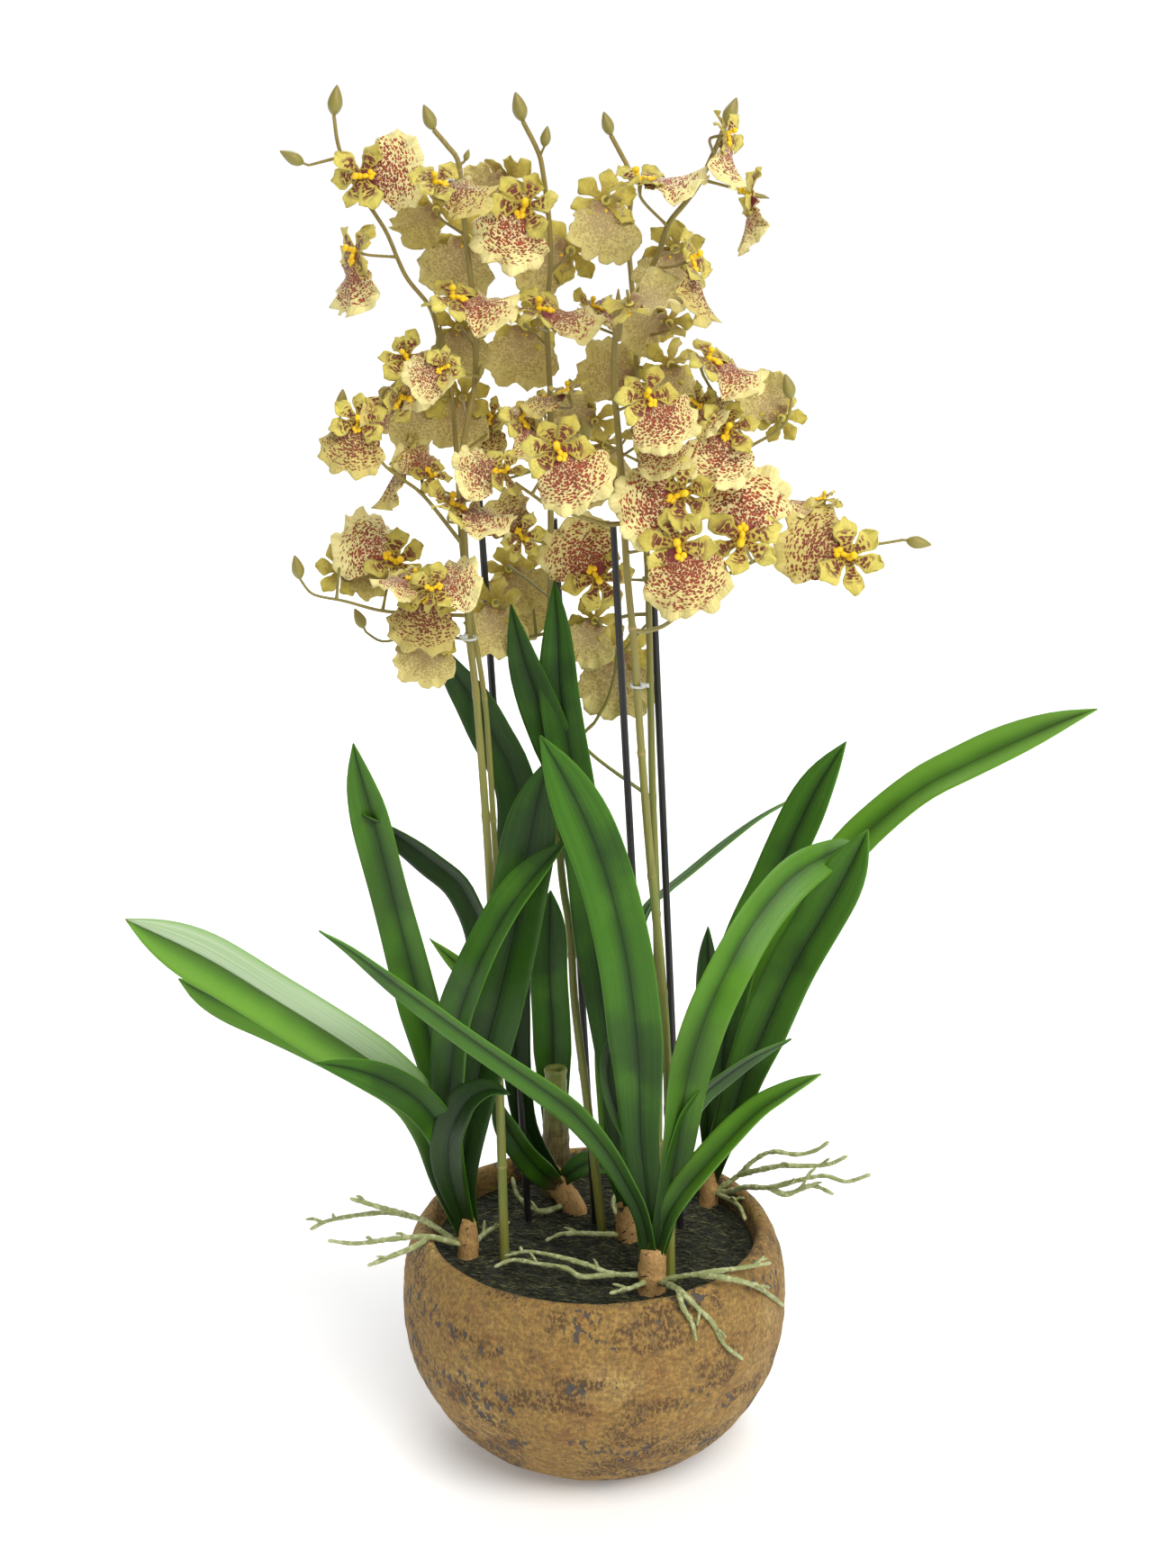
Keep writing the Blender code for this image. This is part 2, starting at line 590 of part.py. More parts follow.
def add_plant(name, plant):
    x, y, radius, height = plant["crown"]
    lean_x, lean_y = CROWN_LEAN.get(name, (0, 0))
    foot = Vector((x, y, SOIL_TOP - STAND_DEPTH))
    top = Vector((x + lean_x, y + lean_y, SOIL_TOP + height))
    middle = Vector((x, y, SOIL_TOP))
    sheath = tube([foot, middle, top, top + Vector((0, 0, 10))], [radius - 0.2, radius - 0.2, radius, radius * 0.6], 8)
    pieces = [solid(name, sheath, "sheath")]
    start = middle.lerp(top, 0.8)
    for number, (width, twist, fold, depths, places) in enumerate(plant["leaves"]):
        path = leaf_path(start, depths, places)
        pieces.append(solid(f"{name}_leaf_{number}", blade(path, width, twist, fold), "leaf"))
    carriers = [[foot, middle, top]]
    for number, places in enumerate(plant["roots"]):
        places = [sight(*place) for place in places]
        places[0] = nearest_on(carriers, places[0])
        path = smooth_path(places, len(places))
        carriers.append(path)
        radii = [2.1 - 1.0 * station / len(places) for station in range(len(path))]
        pieces.append(solid(f"{name}_root_{number}", tube(path, radii, 3), "root"))
    fuse(name, pieces)


def add_stump():
    x, y, top, foot_radius, top_radius, hole_radius, hole_depth = STUMP
    path = [Vector((x, y, z)) for z in (SOIL_TOP - STAND_DEPTH, SOIL_TOP + 30, top)]
    trunk = solid("stump", tube(path, [foot_radius, foot_radius - 1, top_radius], 8), "leaf")
    hole = solid("stump_hole", tube([Vector((x, y, top - hole_depth)), Vector((x, y, top + 5))],
                                    [hole_radius] * 2, 8), "sheath")
    cut = trunk.modifiers.new("hole", "BOOLEAN")
    cut.operation = "DIFFERENCE"
    cut.object = hole
    bpy.context.view_layer.objects.active = trunk
    bpy.ops.object.modifier_apply(modifier=cut.name)
    bpy.data.objects.remove(hole)
    width, twist, fold, depths, places = STUMP_LEAF
    start = Vector((x, y + 5, SOIL_TOP + 4))
    leaf = solid("stump_leaf", blade(leaf_path(start, depths, places), width, twist, fold), "leaf")
    fuse("stump", [trunk, leaf])


def add_sticks():
    for name, ((x, y), top) in STICKS.items():
        path = [Vector((x, y, SOIL_TOP - STAND_DEPTH)), sight(*top)]
        solid(name, tube(path, [STICK_RADIUS] * 2, 6), "stick")


def bloom_frame(x, z, depth, angle, lean, roll):
    """The bloom's middle, its lip direction, its across direction and the way it faces."""
    middle = sight(x, z, depth)
    view = (EYE - middle).normalized()
    right = Vector((1, 0, 0))
    up = view.cross(right)
    turn = math.radians(angle)
    tilt = math.radians(lean)
    lip = (right * math.cos(turn) + up * math.sin(turn)) * math.cos(tilt) + view * math.sin(tilt)
    facing = (view - lip * view.dot(lip)).normalized()
    side = lip.cross(facing)
    spin = math.radians(roll)
    normal = facing * math.cos(spin) + side * math.sin(spin)
    return middle, lip, normal.cross(lip), normal


def bloom_shape(row):
    """A closed sheet of five petals and the lip, with the column as a raised cone."""
    size = row[6]
    middle, along, across, normal = bloom_frame(*row[:6])
    flat = []
    for degrees in VALLEY_ANGLES:
        turn = math.radians(degrees)
        flat.append((HUB_RADIUS * math.sin(turn), HUB_RADIUS * math.cos(turn), 0))
    petals = []
    for number, degrees in enumerate(PETAL_ANGLES):
        turn = math.radians(degrees)
        for side in (-1, 1):
            u = PETAL_LENGTH * math.sin(turn) + side * PETAL_END * math.cos(turn)
            w = PETAL_LENGTH * math.cos(turn) - side * PETAL_END * math.sin(turn)
            flat.append((u, w, (-1.5, 2)[number % 2]))
        petals.append((number, 6 + 2 * number, 7 + 2 * number, number + 1))
    first_lip = len(flat)
    flat += LIP_OUTLINE + [LIP_MIDDLE]
    lip_middle = len(flat) - 1
    ring = [5, *range(lip_middle - 1, first_lip - 1, -1), 0]
    sheet = []
    rim = []
    for start, left, right, end in petals:
        sheet += [(start, end, right), (start, right, left)]
        rim += [(start, left), (left, right), (right, end)]
    sheet += [(lip_middle, b, a) for a, b in zip(ring, ring[1:])]
    sheet.append((lip_middle, 5, 0))
    rim += [(a, b) for a, b in zip(ring, ring[1:])]
    count = len(flat)
    points = []
    for face in (1, -1):
        for u, w, h in flat:
            lift = h * size + face * PETAL_THICK / 2
            points.append(middle + across * (u * size) + along * (w * size) + normal * lift)
    faces = sheet + [(c + count, b + count, a + count) for a, b, c in sheet]
    for a, b in rim:
        faces += [(a, b, b + count), (a, b + count, a + count)]
    column = len(points)
    points.append(middle + normal * COLUMN_HEIGHT)
    cone = [(column, (number + 1) % 6, number) for number in range(6)]
    back = [(count, count + number, count + number + 1) for number in range(1, 5)]
    marks = [0] * len(faces) + [1] * len(cone) + [0] * len(back)
    return points, turn_outwards(points, faces + cone + back), marks


def stalk_shape(row, root):
    """The thin stalk that leaves the bloom's back and curves to its stem."""
    middle, _, _, normal = bloom_frame(*row[:6])
    path = smooth_path([middle, middle - normal * STALK_REACH, root], 3)
    return tube(path, [PEDICEL_RADIUS] * 3, 3)


def nearest_on(paths, goal):
    best = None
    for path in paths:
        for a, b in zip(path, path[1:]):
            span = b - a
            share = min(max((goal - a).dot(span) / span.length_squared, 0.0), 1.0)
            place = a + span * share
            if best is None or (place - goal).length < (best - goal).length:
                best = place
    return best


def add_spray(name, spray):
    pieces = []
    paths = []
    for number, (radius, bud, places) in enumerate(spray["stems"]):
        places = [sight(*place) for place in places]
        if number == 0:
            foot = places[0]
            places[0] = Vector((foot.x, foot.y, SOIL_TOP - STAND_DEPTH))
        else:
            places[0] = nearest_on(paths, places[0])
        path = smooth_path(places, max(4, round(0.8 * len(places))))
        radii = [radius * (1 - 0.4 * station / len(path)) for station in range(len(path))]
        if bud:
            way = (path[-1] - path[-2]).normalized()
            tip = path[-1]
            path = path[:-1] + [tip - way * (bud * share) for share in (1.0, 0.72, 0.4, 0.0)]
            if (path[-5] - tip).length < bud * 1.15:
                path.pop(-5)
                radii.pop()
            radii = radii[:-1] + [1.2, 0.23 * bud, 0.24 * bud, 0.6]
        paths.append(path)
        sides = 5 if number == 0 else 4
        pieces.append(solid(f"{name}_stem_{number}", tube(path, radii, sides), "stem"))
    carriers = [path[:-4] if len(path) > 6 else path for path in paths]
    for number, row in enumerate(spray["blooms"]):
        middle, _, _, normal = bloom_frame(*row[:6])
        root = nearest_on(carriers, middle - Vector((0, 0, STALK_REACH)) - normal * STALK_REACH)
        points, faces, marks = bloom_shape(row)
        pieces.append(add_object(f"{name}_bloom_{number}", points, faces, ["petal", "column"], marks))
        pieces.append(solid(f"{name}_stalk_{number}", stalk_shape(row, root), "stem"))
    fuse(name, pieces)


def add_ties():
    for name, (ring, radius, knot) in TIES.items():
        middle = sight(*ring)
        points = []
        faces = []
        sides = 8
        for step in range(sides):
            turn = 2 * math.pi * step / sides
            for out, high in ((radius, -0.7), (radius + 1, -0.7), (radius + 1, 0.7), (radius, 0.7)):
                points.append(middle + Vector((out * math.cos(turn), out * math.sin(turn), high)))
        for step in range(sides):
            for side in range(4):
                after = (side + 1) % 4
                nxt = (step + 1) % sides
                faces.append((step * 4 + side, step * 4 + after, nxt * 4 + after, nxt * 4 + side))
        band = add_object(name, points, turn_outwards(points, faces), ["tie"])
        centre = sight(*knot)
        path = [centre + Vector((shift, 0, 0)) for shift in (-2.4, 0, 2.4)]
        fuse(name, [band, solid(name + "_knot", tube(path, [0.9, 2.2, 0.9], 6), "tie")])


def main():
    clear_scene()
    add_pot()
    add_soil()
    for name, plant in PLANTS.items():
        add_plant(name, plant)
    add_stump()
    add_sticks()
    for name, spray in SPRAYS.items():
        add_spray(name, spray)
    add_ties()


if __name__ == "__main__":
    main()
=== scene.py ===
"""Looks of a potted dancing lady orchid: an ochre earthenware bowl of dark moss with five leafy plants,
a cut stump, aerial roots, four black sticks, and five flower sprays with buds and spotted, frilled blooms.

Blender 4.5. Places along leaves, stems and roots are (x, z) in mm as seen from the EYE on the upright plane
through the bowl's axis, with a depth in mm behind that plane. sight() slides a place along its sight line.
"""

import json
import math
import random

import bpy
from bpy.props import FloatProperty, FloatVectorProperty, IntProperty, PointerProperty
from mathutils import Matrix, Vector, noise

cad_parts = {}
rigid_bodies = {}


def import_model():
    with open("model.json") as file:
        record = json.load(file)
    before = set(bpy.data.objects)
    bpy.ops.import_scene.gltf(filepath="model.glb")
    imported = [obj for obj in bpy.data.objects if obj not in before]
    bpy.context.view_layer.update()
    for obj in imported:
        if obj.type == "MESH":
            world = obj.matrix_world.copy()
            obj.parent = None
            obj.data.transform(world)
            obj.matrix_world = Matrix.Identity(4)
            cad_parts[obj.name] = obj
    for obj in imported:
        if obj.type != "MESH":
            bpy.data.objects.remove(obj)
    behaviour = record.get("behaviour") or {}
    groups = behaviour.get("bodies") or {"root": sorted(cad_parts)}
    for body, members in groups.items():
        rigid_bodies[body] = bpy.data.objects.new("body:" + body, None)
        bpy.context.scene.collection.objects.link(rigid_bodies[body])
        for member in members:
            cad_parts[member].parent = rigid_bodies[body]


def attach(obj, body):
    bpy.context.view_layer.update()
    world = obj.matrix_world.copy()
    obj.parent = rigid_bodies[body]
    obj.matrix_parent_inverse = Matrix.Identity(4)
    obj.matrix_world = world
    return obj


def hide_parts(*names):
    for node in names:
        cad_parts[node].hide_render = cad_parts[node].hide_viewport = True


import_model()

bl_info = {
    "name": "Potted dancing lady orchid",
    "version": (1, 0, 0),
    "blender": (4, 5, 0),
    "location": "View3D > Sidebar > Orchid",
    "description": "Builds a potted dancing lady orchid round its fixed frame",
    "category": "Object",
}

MM = 0.001
EYE = Vector((-4.0, -2000.0, 1190.0))
EYE_TILT = 69.64
LENS = 80.64
SENSOR = 36
SOIL_TOP = 135

# Plants: crown x, y, its radius, then leaves as (width, twist in degrees, fold, depths, places), and roots
PLANTS = {
    "plant_front": {
        "crown": (36, -62, 8.5, 22),
        "leaves": [
            (33, 8, 0.25, (-62, -84, -76), [
                (33, 170), (29, 210), (28, 250), (25, 290), (20, 330), (13, 365), (5, 395), (-6, 425),
                (-20, 455), (-33, 479)]),
            (27, -20, 0.4, (-62, -76, 5), [
                (44, 150), (52, 200), (58, 250), (68, 290), (82, 325), (100, 360), (122, 388), (145, 403),
                (158, 410)]),
            (22, 50, 0.3, (-62, -78, -90), [
                (45, 150), (55, 170), (70, 190), (100, 225), (120, 240), (142, 254)]),
            (18, -62, 0.2, (-62, -68, -50), [
                (45, 165), (55, 215), (65, 236), (80, 251), (100, 266), (123, 278)]),
            (20, 55, 0.25, (-62, -96, -118), [
                (30, 155), (20, 178), (8, 200), (-10, 224), (-30, 242), (-75, 277), (-120, 313),
                (-150, 338), (-170, 351)]),
            (16, -50, 0.2, (-62, -70, -64), [
                (30, 170), (24, 205), (14, 228), (9, 245), (8, 262), (13, 282), (17, 300), (16, 317)]),
        ],
        "roots": [
            [
                (35, 112, -63), (12, 113, -60), (-3, 119, -55), (-22, 125, -50), (-42, 129, -42),
                (-57, 126, -38)],
            [
                (13, 113, -60), (-8, 111, -64), (-18, 117, -62), (-34, 120, -56), (-52, 123, -52),
                (-64, 118, -54)],
            [(36, 108, -65), (24, 103, -78), (10, 99, -90)],
            [(40, 106, -64), (60, 112, -74), (78, 115, -76), (97, 118, -66), (113, 121, -60)],
            [(63, 112, -75), (85, 110, -84), (104, 104, -66), (122, 90, -36)],
            [(40, 105, -65), (54, 102, -98), (66, 89, -100), (76, 78, -96), (84, 62, -95), (96, 51, -86)],
            [(54, 102, -98), (57, 89, -104), (63, 78, -103), (65, 66, -107)],
        ],
    },
    "plant_left": {
        "crown": (-80, -15, 6.5, 20),
        "leaves": [
            (34, 10, 0.25, (-15, -34, -66), [
                (-94, 180), (-103, 215), (-118, 243), (-150, 270), (-200, 305), (-240, 332), (-289, 359)]),
            (26, 30, 0.2, (-12, 2, 0), [
                (-92, 180), (-103, 215), (-118, 240), (-150, 262), (-200, 290), (-240, 308), (-258, 319)]),
            (22, 15, 0.3, (-15, -50, -90), [
                (-89, 185), (-96, 214), (-109, 234), (-128, 248), (-150, 257), (-175, 262)]),
            (28, 32, 0.3, (-15, 6, 0), [
                (-91, 200), (-97, 250), (-103, 280), (-113, 325), (-125, 380), (-136, 430), (-141, 450),
                (-146, 474)]),
            (24, 50, 0.3, (-8, 22, 0), [
                (-84, 220), (-76, 290), (-68, 340), (-80, 378), (-100, 398), (-120, 414), (-142, 428)]),
            (26, 40, 0.4, (-15, -60, -62), [
                (-90, 200), (-90, 250), (-85, 290), (-75, 320), (-64, 345), (-50, 370), (-35, 390),
                (-17, 411)]),
            (34, 12, 0.25, (-15, -46, -42), [
                (-84, 180), (-78, 225), (-70, 265), (-60, 305), (-50, 350), (-42, 395), (-35, 435),
                (-27, 465)]),
            (23, 30, 0.3, (-15, -46, -66), [
                (-87, 165), (-92, 190), (-90, 215), (-80, 235), (-66, 243), (-53, 240)]),
            (16, 20, 0.2, (-10, 2, 0), [
                (-82, 200), (-72, 260), (-68, 295), (-73, 316), (-88, 332), (-102, 346)]),
        ],
        "roots": [
            [
                (-82, 132, -13), (-97, 143, -10), (-108, 151, -8), (-119, 155, -6), (-132, 157, -4),
                (-152, 155, 0), (-170, 151, 4), (-181, 145, 6)],
            [(-119, 155, -7), (-134, 160, -14), (-155, 167, -18)],
            [
                (-82, 131, -18), (-95, 137, -24), (-107, 140, -28), (-130, 138, -30), (-152, 135, -30),
                (-170, 137, -32)],
            [(-106, 140, -28), (-114, 133, -38), (-127, 127, -42), (-145, 119, -48)],
            [(-79, 132, -13), (-70, 142, 0), (-60, 148, 8), (-54, 150, 12)],
        ],
    },
    "plant_right": {
        "crown": (75, 57, 6, 22),
        "leaves": [
            (31, 12, 0.25, (57, 10, -34), [
                (78, 200), (85, 220), (95, 255), (108, 290), (122, 325), (140, 360), (155, 390),
                (167, 418)]),
            (27, 15, 0.25, (57, 40, 14), [
                (79, 210), (80, 260), (85, 315), (95, 350), (108, 380), (120, 410), (135, 445),
                (152, 475)]),
            (22, 40, 0.25, (57, 62, 58), [(74, 200), (73, 240), (74, 280), (72, 320), (70, 354)]),
            (26, 30, 0.3, (57, 56, 40), [
                (82, 215), (88, 250), (105, 310), (130, 365), (155, 403), (175, 425), (200, 446),
                (225, 460), (250, 473), (280, 487), (303, 496)]),
        ],
        "roots": [
            [
                (78, 168, 55), (82, 176, 54), (92, 184, 52), (100, 193, 48), (112, 200, 44), (128, 198, 40),
                (140, 201, 38), (148, 207, 36)],
            [(92, 184, 52), (104, 187, 42), (118, 190, 34), (133, 190, 30), (148, 191, 26), (160, 197, 24)],
            [
                (79, 165, 53), (86, 172, 46), (96, 175, 34), (112, 175, 20), (130, 180, 10), (146, 183, 4),
                (160, 179, 0), (175, 184, -4)],
            [(112, 175, 22), (122, 170, 22), (138, 176, 22), (152, 170, 20)],
            [(78, 164, 52), (88, 165, 38), (93, 160, 28), (96, 152, 14)],
        ],
    },
    "plant_middle": {
        "crown": (21, 5, 7, 20),
        "leaves": [
            (25, 12, 0.3, (5, -8, 2), [
                (17, 200), (12, 250), (6, 300), (0, 350), (-5, 400), (-12, 450), (-17, 480), (-21, 510),
                (-22, 545), (-24, 577)]),
            (26, 20, 0.3, (8, 4, -6), [
                (15, 220), (8, 300), (0, 370), (-15, 450), (-25, 478), (-35, 505), (-43, 530), (-50, 562)]),
            (9, 10, 0.2, (5, 10, 12), [(10, 190), (6, 240), (2, 290)]),
            (16, 74, 0.2, (6, 52, 84), [
                (18, 200), (17, 260), (22, 320), (32, 363), (45, 377), (60, 390), (80, 408), (100, 425),
                (118, 437)]),
            (9, 5, 0.3, (0, -16, -14), [(20, 180), (20, 220), (13, 267)]),
        ],
        "roots": [
            [(19, 140, 3), (-4, 142, -6), (-20, 142, -8), (-31, 137, -10)],
            [(21, 143, 7), (14, 156, 26), (12, 164, 40), (14, 172, 54)],
        ],
    },
    "plant_back": {
        "crown": (-12, 45, 7.5, 20),
        "leaves": [
            (26, 12, 0.3, (45, 4, -14), [
                (-42, 215), (-48, 255), (-50, 290), (-51, 325), (-48, 380), (-46, 435), (-52, 460),
                (-62, 480), (-72, 500), (-85, 520), (-97, 542)]),
            (18, 30, 0.25, (30, 4, 2), [(-30, 182), (-45, 200), (-57, 222), (-62, 240)]),
            (16, 30, 0.25, (45, 48, 48), [(-14, 186), (-2, 192), (11, 186)]),
        ],
        "roots": [[(-16, 162, 40), (-34, 158, 30), (-48, 168, 40), (-52, 182, 54)]],
    },
}
CROWN_LEAN = {"plant_back": (-14, 6)}

# Cut stump: foot x and y, top height, foot and top radius, hole radius and depth, and the leaf behind it
STUMP = (-25, 73, 224, 10, 7, 3.6, 12)
STUMP_LEAF = (25, 10, 0.3, (82, 90, 90), [(-24, 190), (-25, 230), (-26, 280), (-28, 330), (-27, 378)])

# Sticks: foot x and y on the soil, then the top place
STICKS = {
    "stick_left": ((-42, 32), (-68, 628, 22)),
    "stick_middle": ((1, 30), (-24, 615, 22)),
    "stick_front": ((38, -38), (11, 610, -36)),
    "stick_right": ((56, 22), (34, 590, 40)),
}

# Sprays: stems and side branches as (radius, end, places). end is the bud's length at the tip, or 0.
# Blooms are (x, z, depth, picture angle of the lip, lean to the eye, roll about the lip, size).
SPRAYS = {
    "spray_far_left": {
        "stems": [
            (2.0, 17, [
                (-57, 137, 0), (-60, 260, -12), (-60, 370, -14), (-62, 430, -16), (-66, 500, -16),
                (-74, 557, -14), (-79, 600, -10), (-81, 650, -8), (-84, 694, -8), (-90, 720, -8),
                (-95, 741, -8), (-109, 760, -8), (-119, 784, -8), (-126, 796, -8), (-139, 816, -6),
                (-146, 835, -4), (-148, 854, -2), (-146, 869, 0)]),
            (1.2, 15, [(-144, 829, -4), (-152, 827, -4), (-164, 824, -4), (-179, 832, -4)]),
            (1.5, 0, [
                (-80, 600, -10), (-100, 628, -26), (-113, 639, -32), (-124, 648, -38), (-132, 662, -40)]),
            (1.2, 14, [(-132, 660, -40), (-147, 669, -32), (-149, 678, -30), (-147, 693, -30)]),
        ],
        "blooms": [
            (-133, 818, -16, 8, 10, 0, 1.0),
            (-137, 774, -24, -103, 0, 62, 1.0),
            (-109, 712, -34, -60, 25, 10, 0.85),
            (-115, 689, -44, -122, 10, -66, 0.95),
            (-138, 674, -62, -106, 5, 8, 0.86),
            (-100, 693, -10, -128, 0, 172, 0.95),
            (-110, 654, -12, -120, -10, 85, 0.95),
        ],
    },
    "spray_left": {
        "stems": [
            (2.7, 15, [
                (-57, 123, -26), (-60, 260, -24), (-65, 400, -26), (-71, 500, -26), (-75, 542, -26),
                (-76, 577, -26), (-77, 600, -26), (-78, 647, -26), (-74, 677, -24), (-70, 696, -22),
                (-69, 734, -20), (-71, 752, -20), (-74, 782, -20), (-76, 805, -20), (-78, 826, -20),
                (-84, 835, -18), (-92, 845, -16), (-97, 858, -14)]),
            (1.4, 15, [
                (-76, 555, -26), (-102, 556, -22), (-127, 558, -18), (-149, 564, -16), (-164, 567, -16),
                (-170, 570, -16), (-175, 577, -16), (-178, 592, -16)]),
            (1.2, 7, [(-77, 824, -20), (-74, 827, -20), (-72, 833, -20)]),
            (1.0, 8, [(-70, 692, -22), (-67, 700, -26), (-66, 708, -28)]),
        ],
        "blooms": [
            (-91, 799, 4, 215, -10, 150, 0.75),
            (-91, 813, -44, -12, 0, -58, 0.9),
            (-73, 782, 12, -112, 0, 178, 1.0),
            (-82, 746, -40, -8, 0, -62, 1.0),
            (-79, 730, 8, -88, 0, 170, 0.8),
            (-88, 706, -64, -150, 20, 0, 0.65),
            (-77, 688, 14, -100, 0, 180, 0.85),
            (-60, 676, 16, -115, 10, 35, 0.7),
            (-84, 622, -54, -18, 0, -68, 1.0),
            (-119, 588, -2, 145, 0, 25, 1.05),
            (-151, 584, 2, 0, 0, 175, 0.85),
            (-108, 578, -46, -165, 40, 60, 0.7),
            (-96, 571, -66, 20, 10, -30, 0.8),
            (-99, 568, -34, -100, 10, 0, 0.95),
            (-98, 543, -26, -105, 5, 172, 0.85),
            (-97, 641, -24, 122, 0, 40, 0.7),
        ],
    },
    "spray_middle": {
        "stems": [
            (2.5, 17, [
                (6, 143, 14), (-4, 230, 10), (-12, 300, 10), (-15, 350, 10), (-21, 400, 10), (-26, 520, 14),
                (-26, 624, 10), (-26, 686, 8), (-27, 711, 6), (-28, 740, 6), (-26, 761, 6), (-26, 788, 6),
                (-30, 822, 6), (-33, 833, 6), (-41, 849, 6), (-45, 865, 6)]),
            (1.0, 12, [(-32, 829, 6), (-29, 834, 4), (-27, 846, 4)]),
        ],
        "blooms": [
            (-49, 816, 22, 200, -10, 150, 0.85),
            (-40, 801, -24, -118, 0, 8, 1.05),
            (-14, 775, 30, 195, 0, 172, 1.0),
            (-32, 739, -24, -8, 0, -68, 1.0),
            (-40, 731, 30, -98, 0, 180, 1.0),
            (-16, 691, -26, -165, 0, 75, 0.75),
            (-30, 683, 34, -160, 20, 60, 0.8),
            (-44, 674, -30, -48, 10, -60, 0.85),
            (-54, 643, -56, 178, 15, 30, 0.8),
            (-44, 604, -6, 120, 20, 20, 0.8),
            (-51, 584, 50, -60, 0, 170, 0.8),
            (0, 674, 22, 165, 0, 160, 0.8),
        ],
    },
    "spray_front": {
        "stems": [
            (2.7, 16, [
                (49, 108, -50), (47, 220, -48), (44, 290, -48), (39, 350, -48), (34, 400, -48),
                (29, 460, -48), (24, 530, -50), (20, 573, -50), (18, 600, -50), (16, 640, -50),
                (13, 675, -50), (11, 700, -50), (13, 731, -50), (22, 745, -48), (36, 772, -44),
                (42, 790, -42), (52, 803, -40), (59, 813, -40), (68, 832, -38), (74, 847, -38),
                (80, 862, -36)]),
            (1.7, 0, [
                (17, 612, -50), (5, 612, -54), (-10, 617, -58), (-26, 622, -62), (-36, 629, -64),
                (-47, 637, -64)]),
            (1.5, 15, [
                (17, 628, -50), (39, 633, -30), (62, 640, -24), (72, 643, -24), (90, 658, -26),
                (105, 667, -28), (112, 674, -28), (115, 686, -28), (111, 702, -28)]),
            (1.6, 15, [
                (22, 545, -50), (34, 546, -36), (46, 552, -24), (69, 574, -24), (107, 594, -26),
                (140, 598, -28), (164, 599, -28), (183, 602, -28), (199, 599, -28)]),
        ],
        "blooms": [
            (26, 814, -62, 4, 0, -80, 1.0),
            (74, 841, -60, -78, 0, -72, 0.8),
            (90, 807, -40, -98, 5, 82, 0.9),
            (46, 776, -20, -104, 0, 168, 0.95),
            (54, 769, -66, -70, 0, -78, 1.0),
            (20, 744, -74, 10, 0, 125, 0.85),
            (-22, 658, -82, -60, 5, 0, 1.05),
            (30, 689, -76, -51, 5, -20, 0.95),
            (31, 667, -58, -50, 15, -30, 0.8),
            (60, 684, -40, -40, 45, 0, 0.7),
            (78, 670, -54, -105, 0, 0, 0.95),
            (109, 676, -12, 130, 0, 178, 0.8),
            (66, 710, -42, -22, 0, -65, 0.95),
            (51, 630, -66, -155, 0, 0, 1.1),
            (87, 602, -60, 85, 0, 0, 1.2),
            (49, 599, -78, -75, 0, 0, 1.15),
            (150, 591, -54, 154, 0, 15, 1.15),
            (135, 626, -30, 185, 0, 75, 0.65),
        ],
    },
    "spray_back": {
        "stems": [
            (2.5, 14, [
                (40, 148, 26), (40, 260, 28), (38, 370, 30), (35, 450, 30), (33, 530, 30), (31, 590, 30),
                (28, 630, 26), (25, 690, 22), (23, 736, 20), (21, 758, 20), (19, 785, 20), (21, 810, 20),
                (19, 822, 20), (15, 830, 20), (9, 841, 20), (5, 854, 20)]),
            (1.4, 14, [
                (32, 556, 30), (20, 555, 38), (1, 550, 40), (-21, 546, 42), (-37, 542, 44), (-60, 538, 46),
                (-92, 542, 40), (-117, 540, 34), (-128, 539, 32), (-137, 545, 30), (-143, 559, 28)]),
            (1.1, 7, [(20, 816, 20), (23, 817, 20), (24, 823, 20)]),
            (1.0, 14, [(26, 676, 22), (12, 656, 8), (-4, 653, -2), (-4, 663, -4), (-8, 676, -4)]),
            (1.4, 0, [
                (-8, 440, 40), (-6, 472, 42), (1, 489, 44), (8, 503, 46), (16, 530, 40), (33, 552, 32)]),
        ],
        "blooms": [
            (6, 804, -1, -95, 18, 160, 1.0),
            (-1, 741, 34, -14, 0, -70, 0.8),
            (44, 708, -6, -95, -10, 150, 0.9),
            (22, 698, 25, 155, 0, 168, 0.9),
            (6, 660, 34, -100, -10, 150, 0.8),
            (2, 644, -10, -70, 40, 0, 0.7),
            (2, 578, 0, 125, 0, 0, 1.1),
            (-40, 581, 74, -110, 10, 175, 1.1),
            (-59, 563, 6, -95, 0, 165, 0.9),
            (13, 533, 62, -88, 5, 180, 1.15),
            (36, 574, 21, 60, -10, 110, 0.6),
            (0, 552, 24, -112, 0, 160, 0.8),
            (43, 733, 12, 185, 0, 150, 0.8),
        ],
    },
}

# Ties: place of the ring round a stem, its radius, and the knot's place
TIES = {
    "tie_left": ((-75, 541, -26), 3.9, (-78.5, 542, -30)),
    "tie_right": ((26, 511, -48.5), 3.9, (30, 511, -52.5)),
}

# Blooms, mm: petals at these angles from the lip, and the lip's rim as (angle in degrees, reach)
PETAL_ANGLES = (62, 121, 180, 239, 298)
PETAL_REACH = (21, 20, 19, 20, 21)
PETAL_HALF = (7.4, 6.0, 6.4, 6.0, 7.4)
LIP_CENTRE = 14
LIP_RIM = [(0, 20.5), (20, 24.5), (50, 24.5), (80, 22.5), (105, 17.5), (122, 12.5), (140, 14.5), (162, 13),
           (180, 12)]
STALK_REACH = 9
BLOOM_KINDS = 6

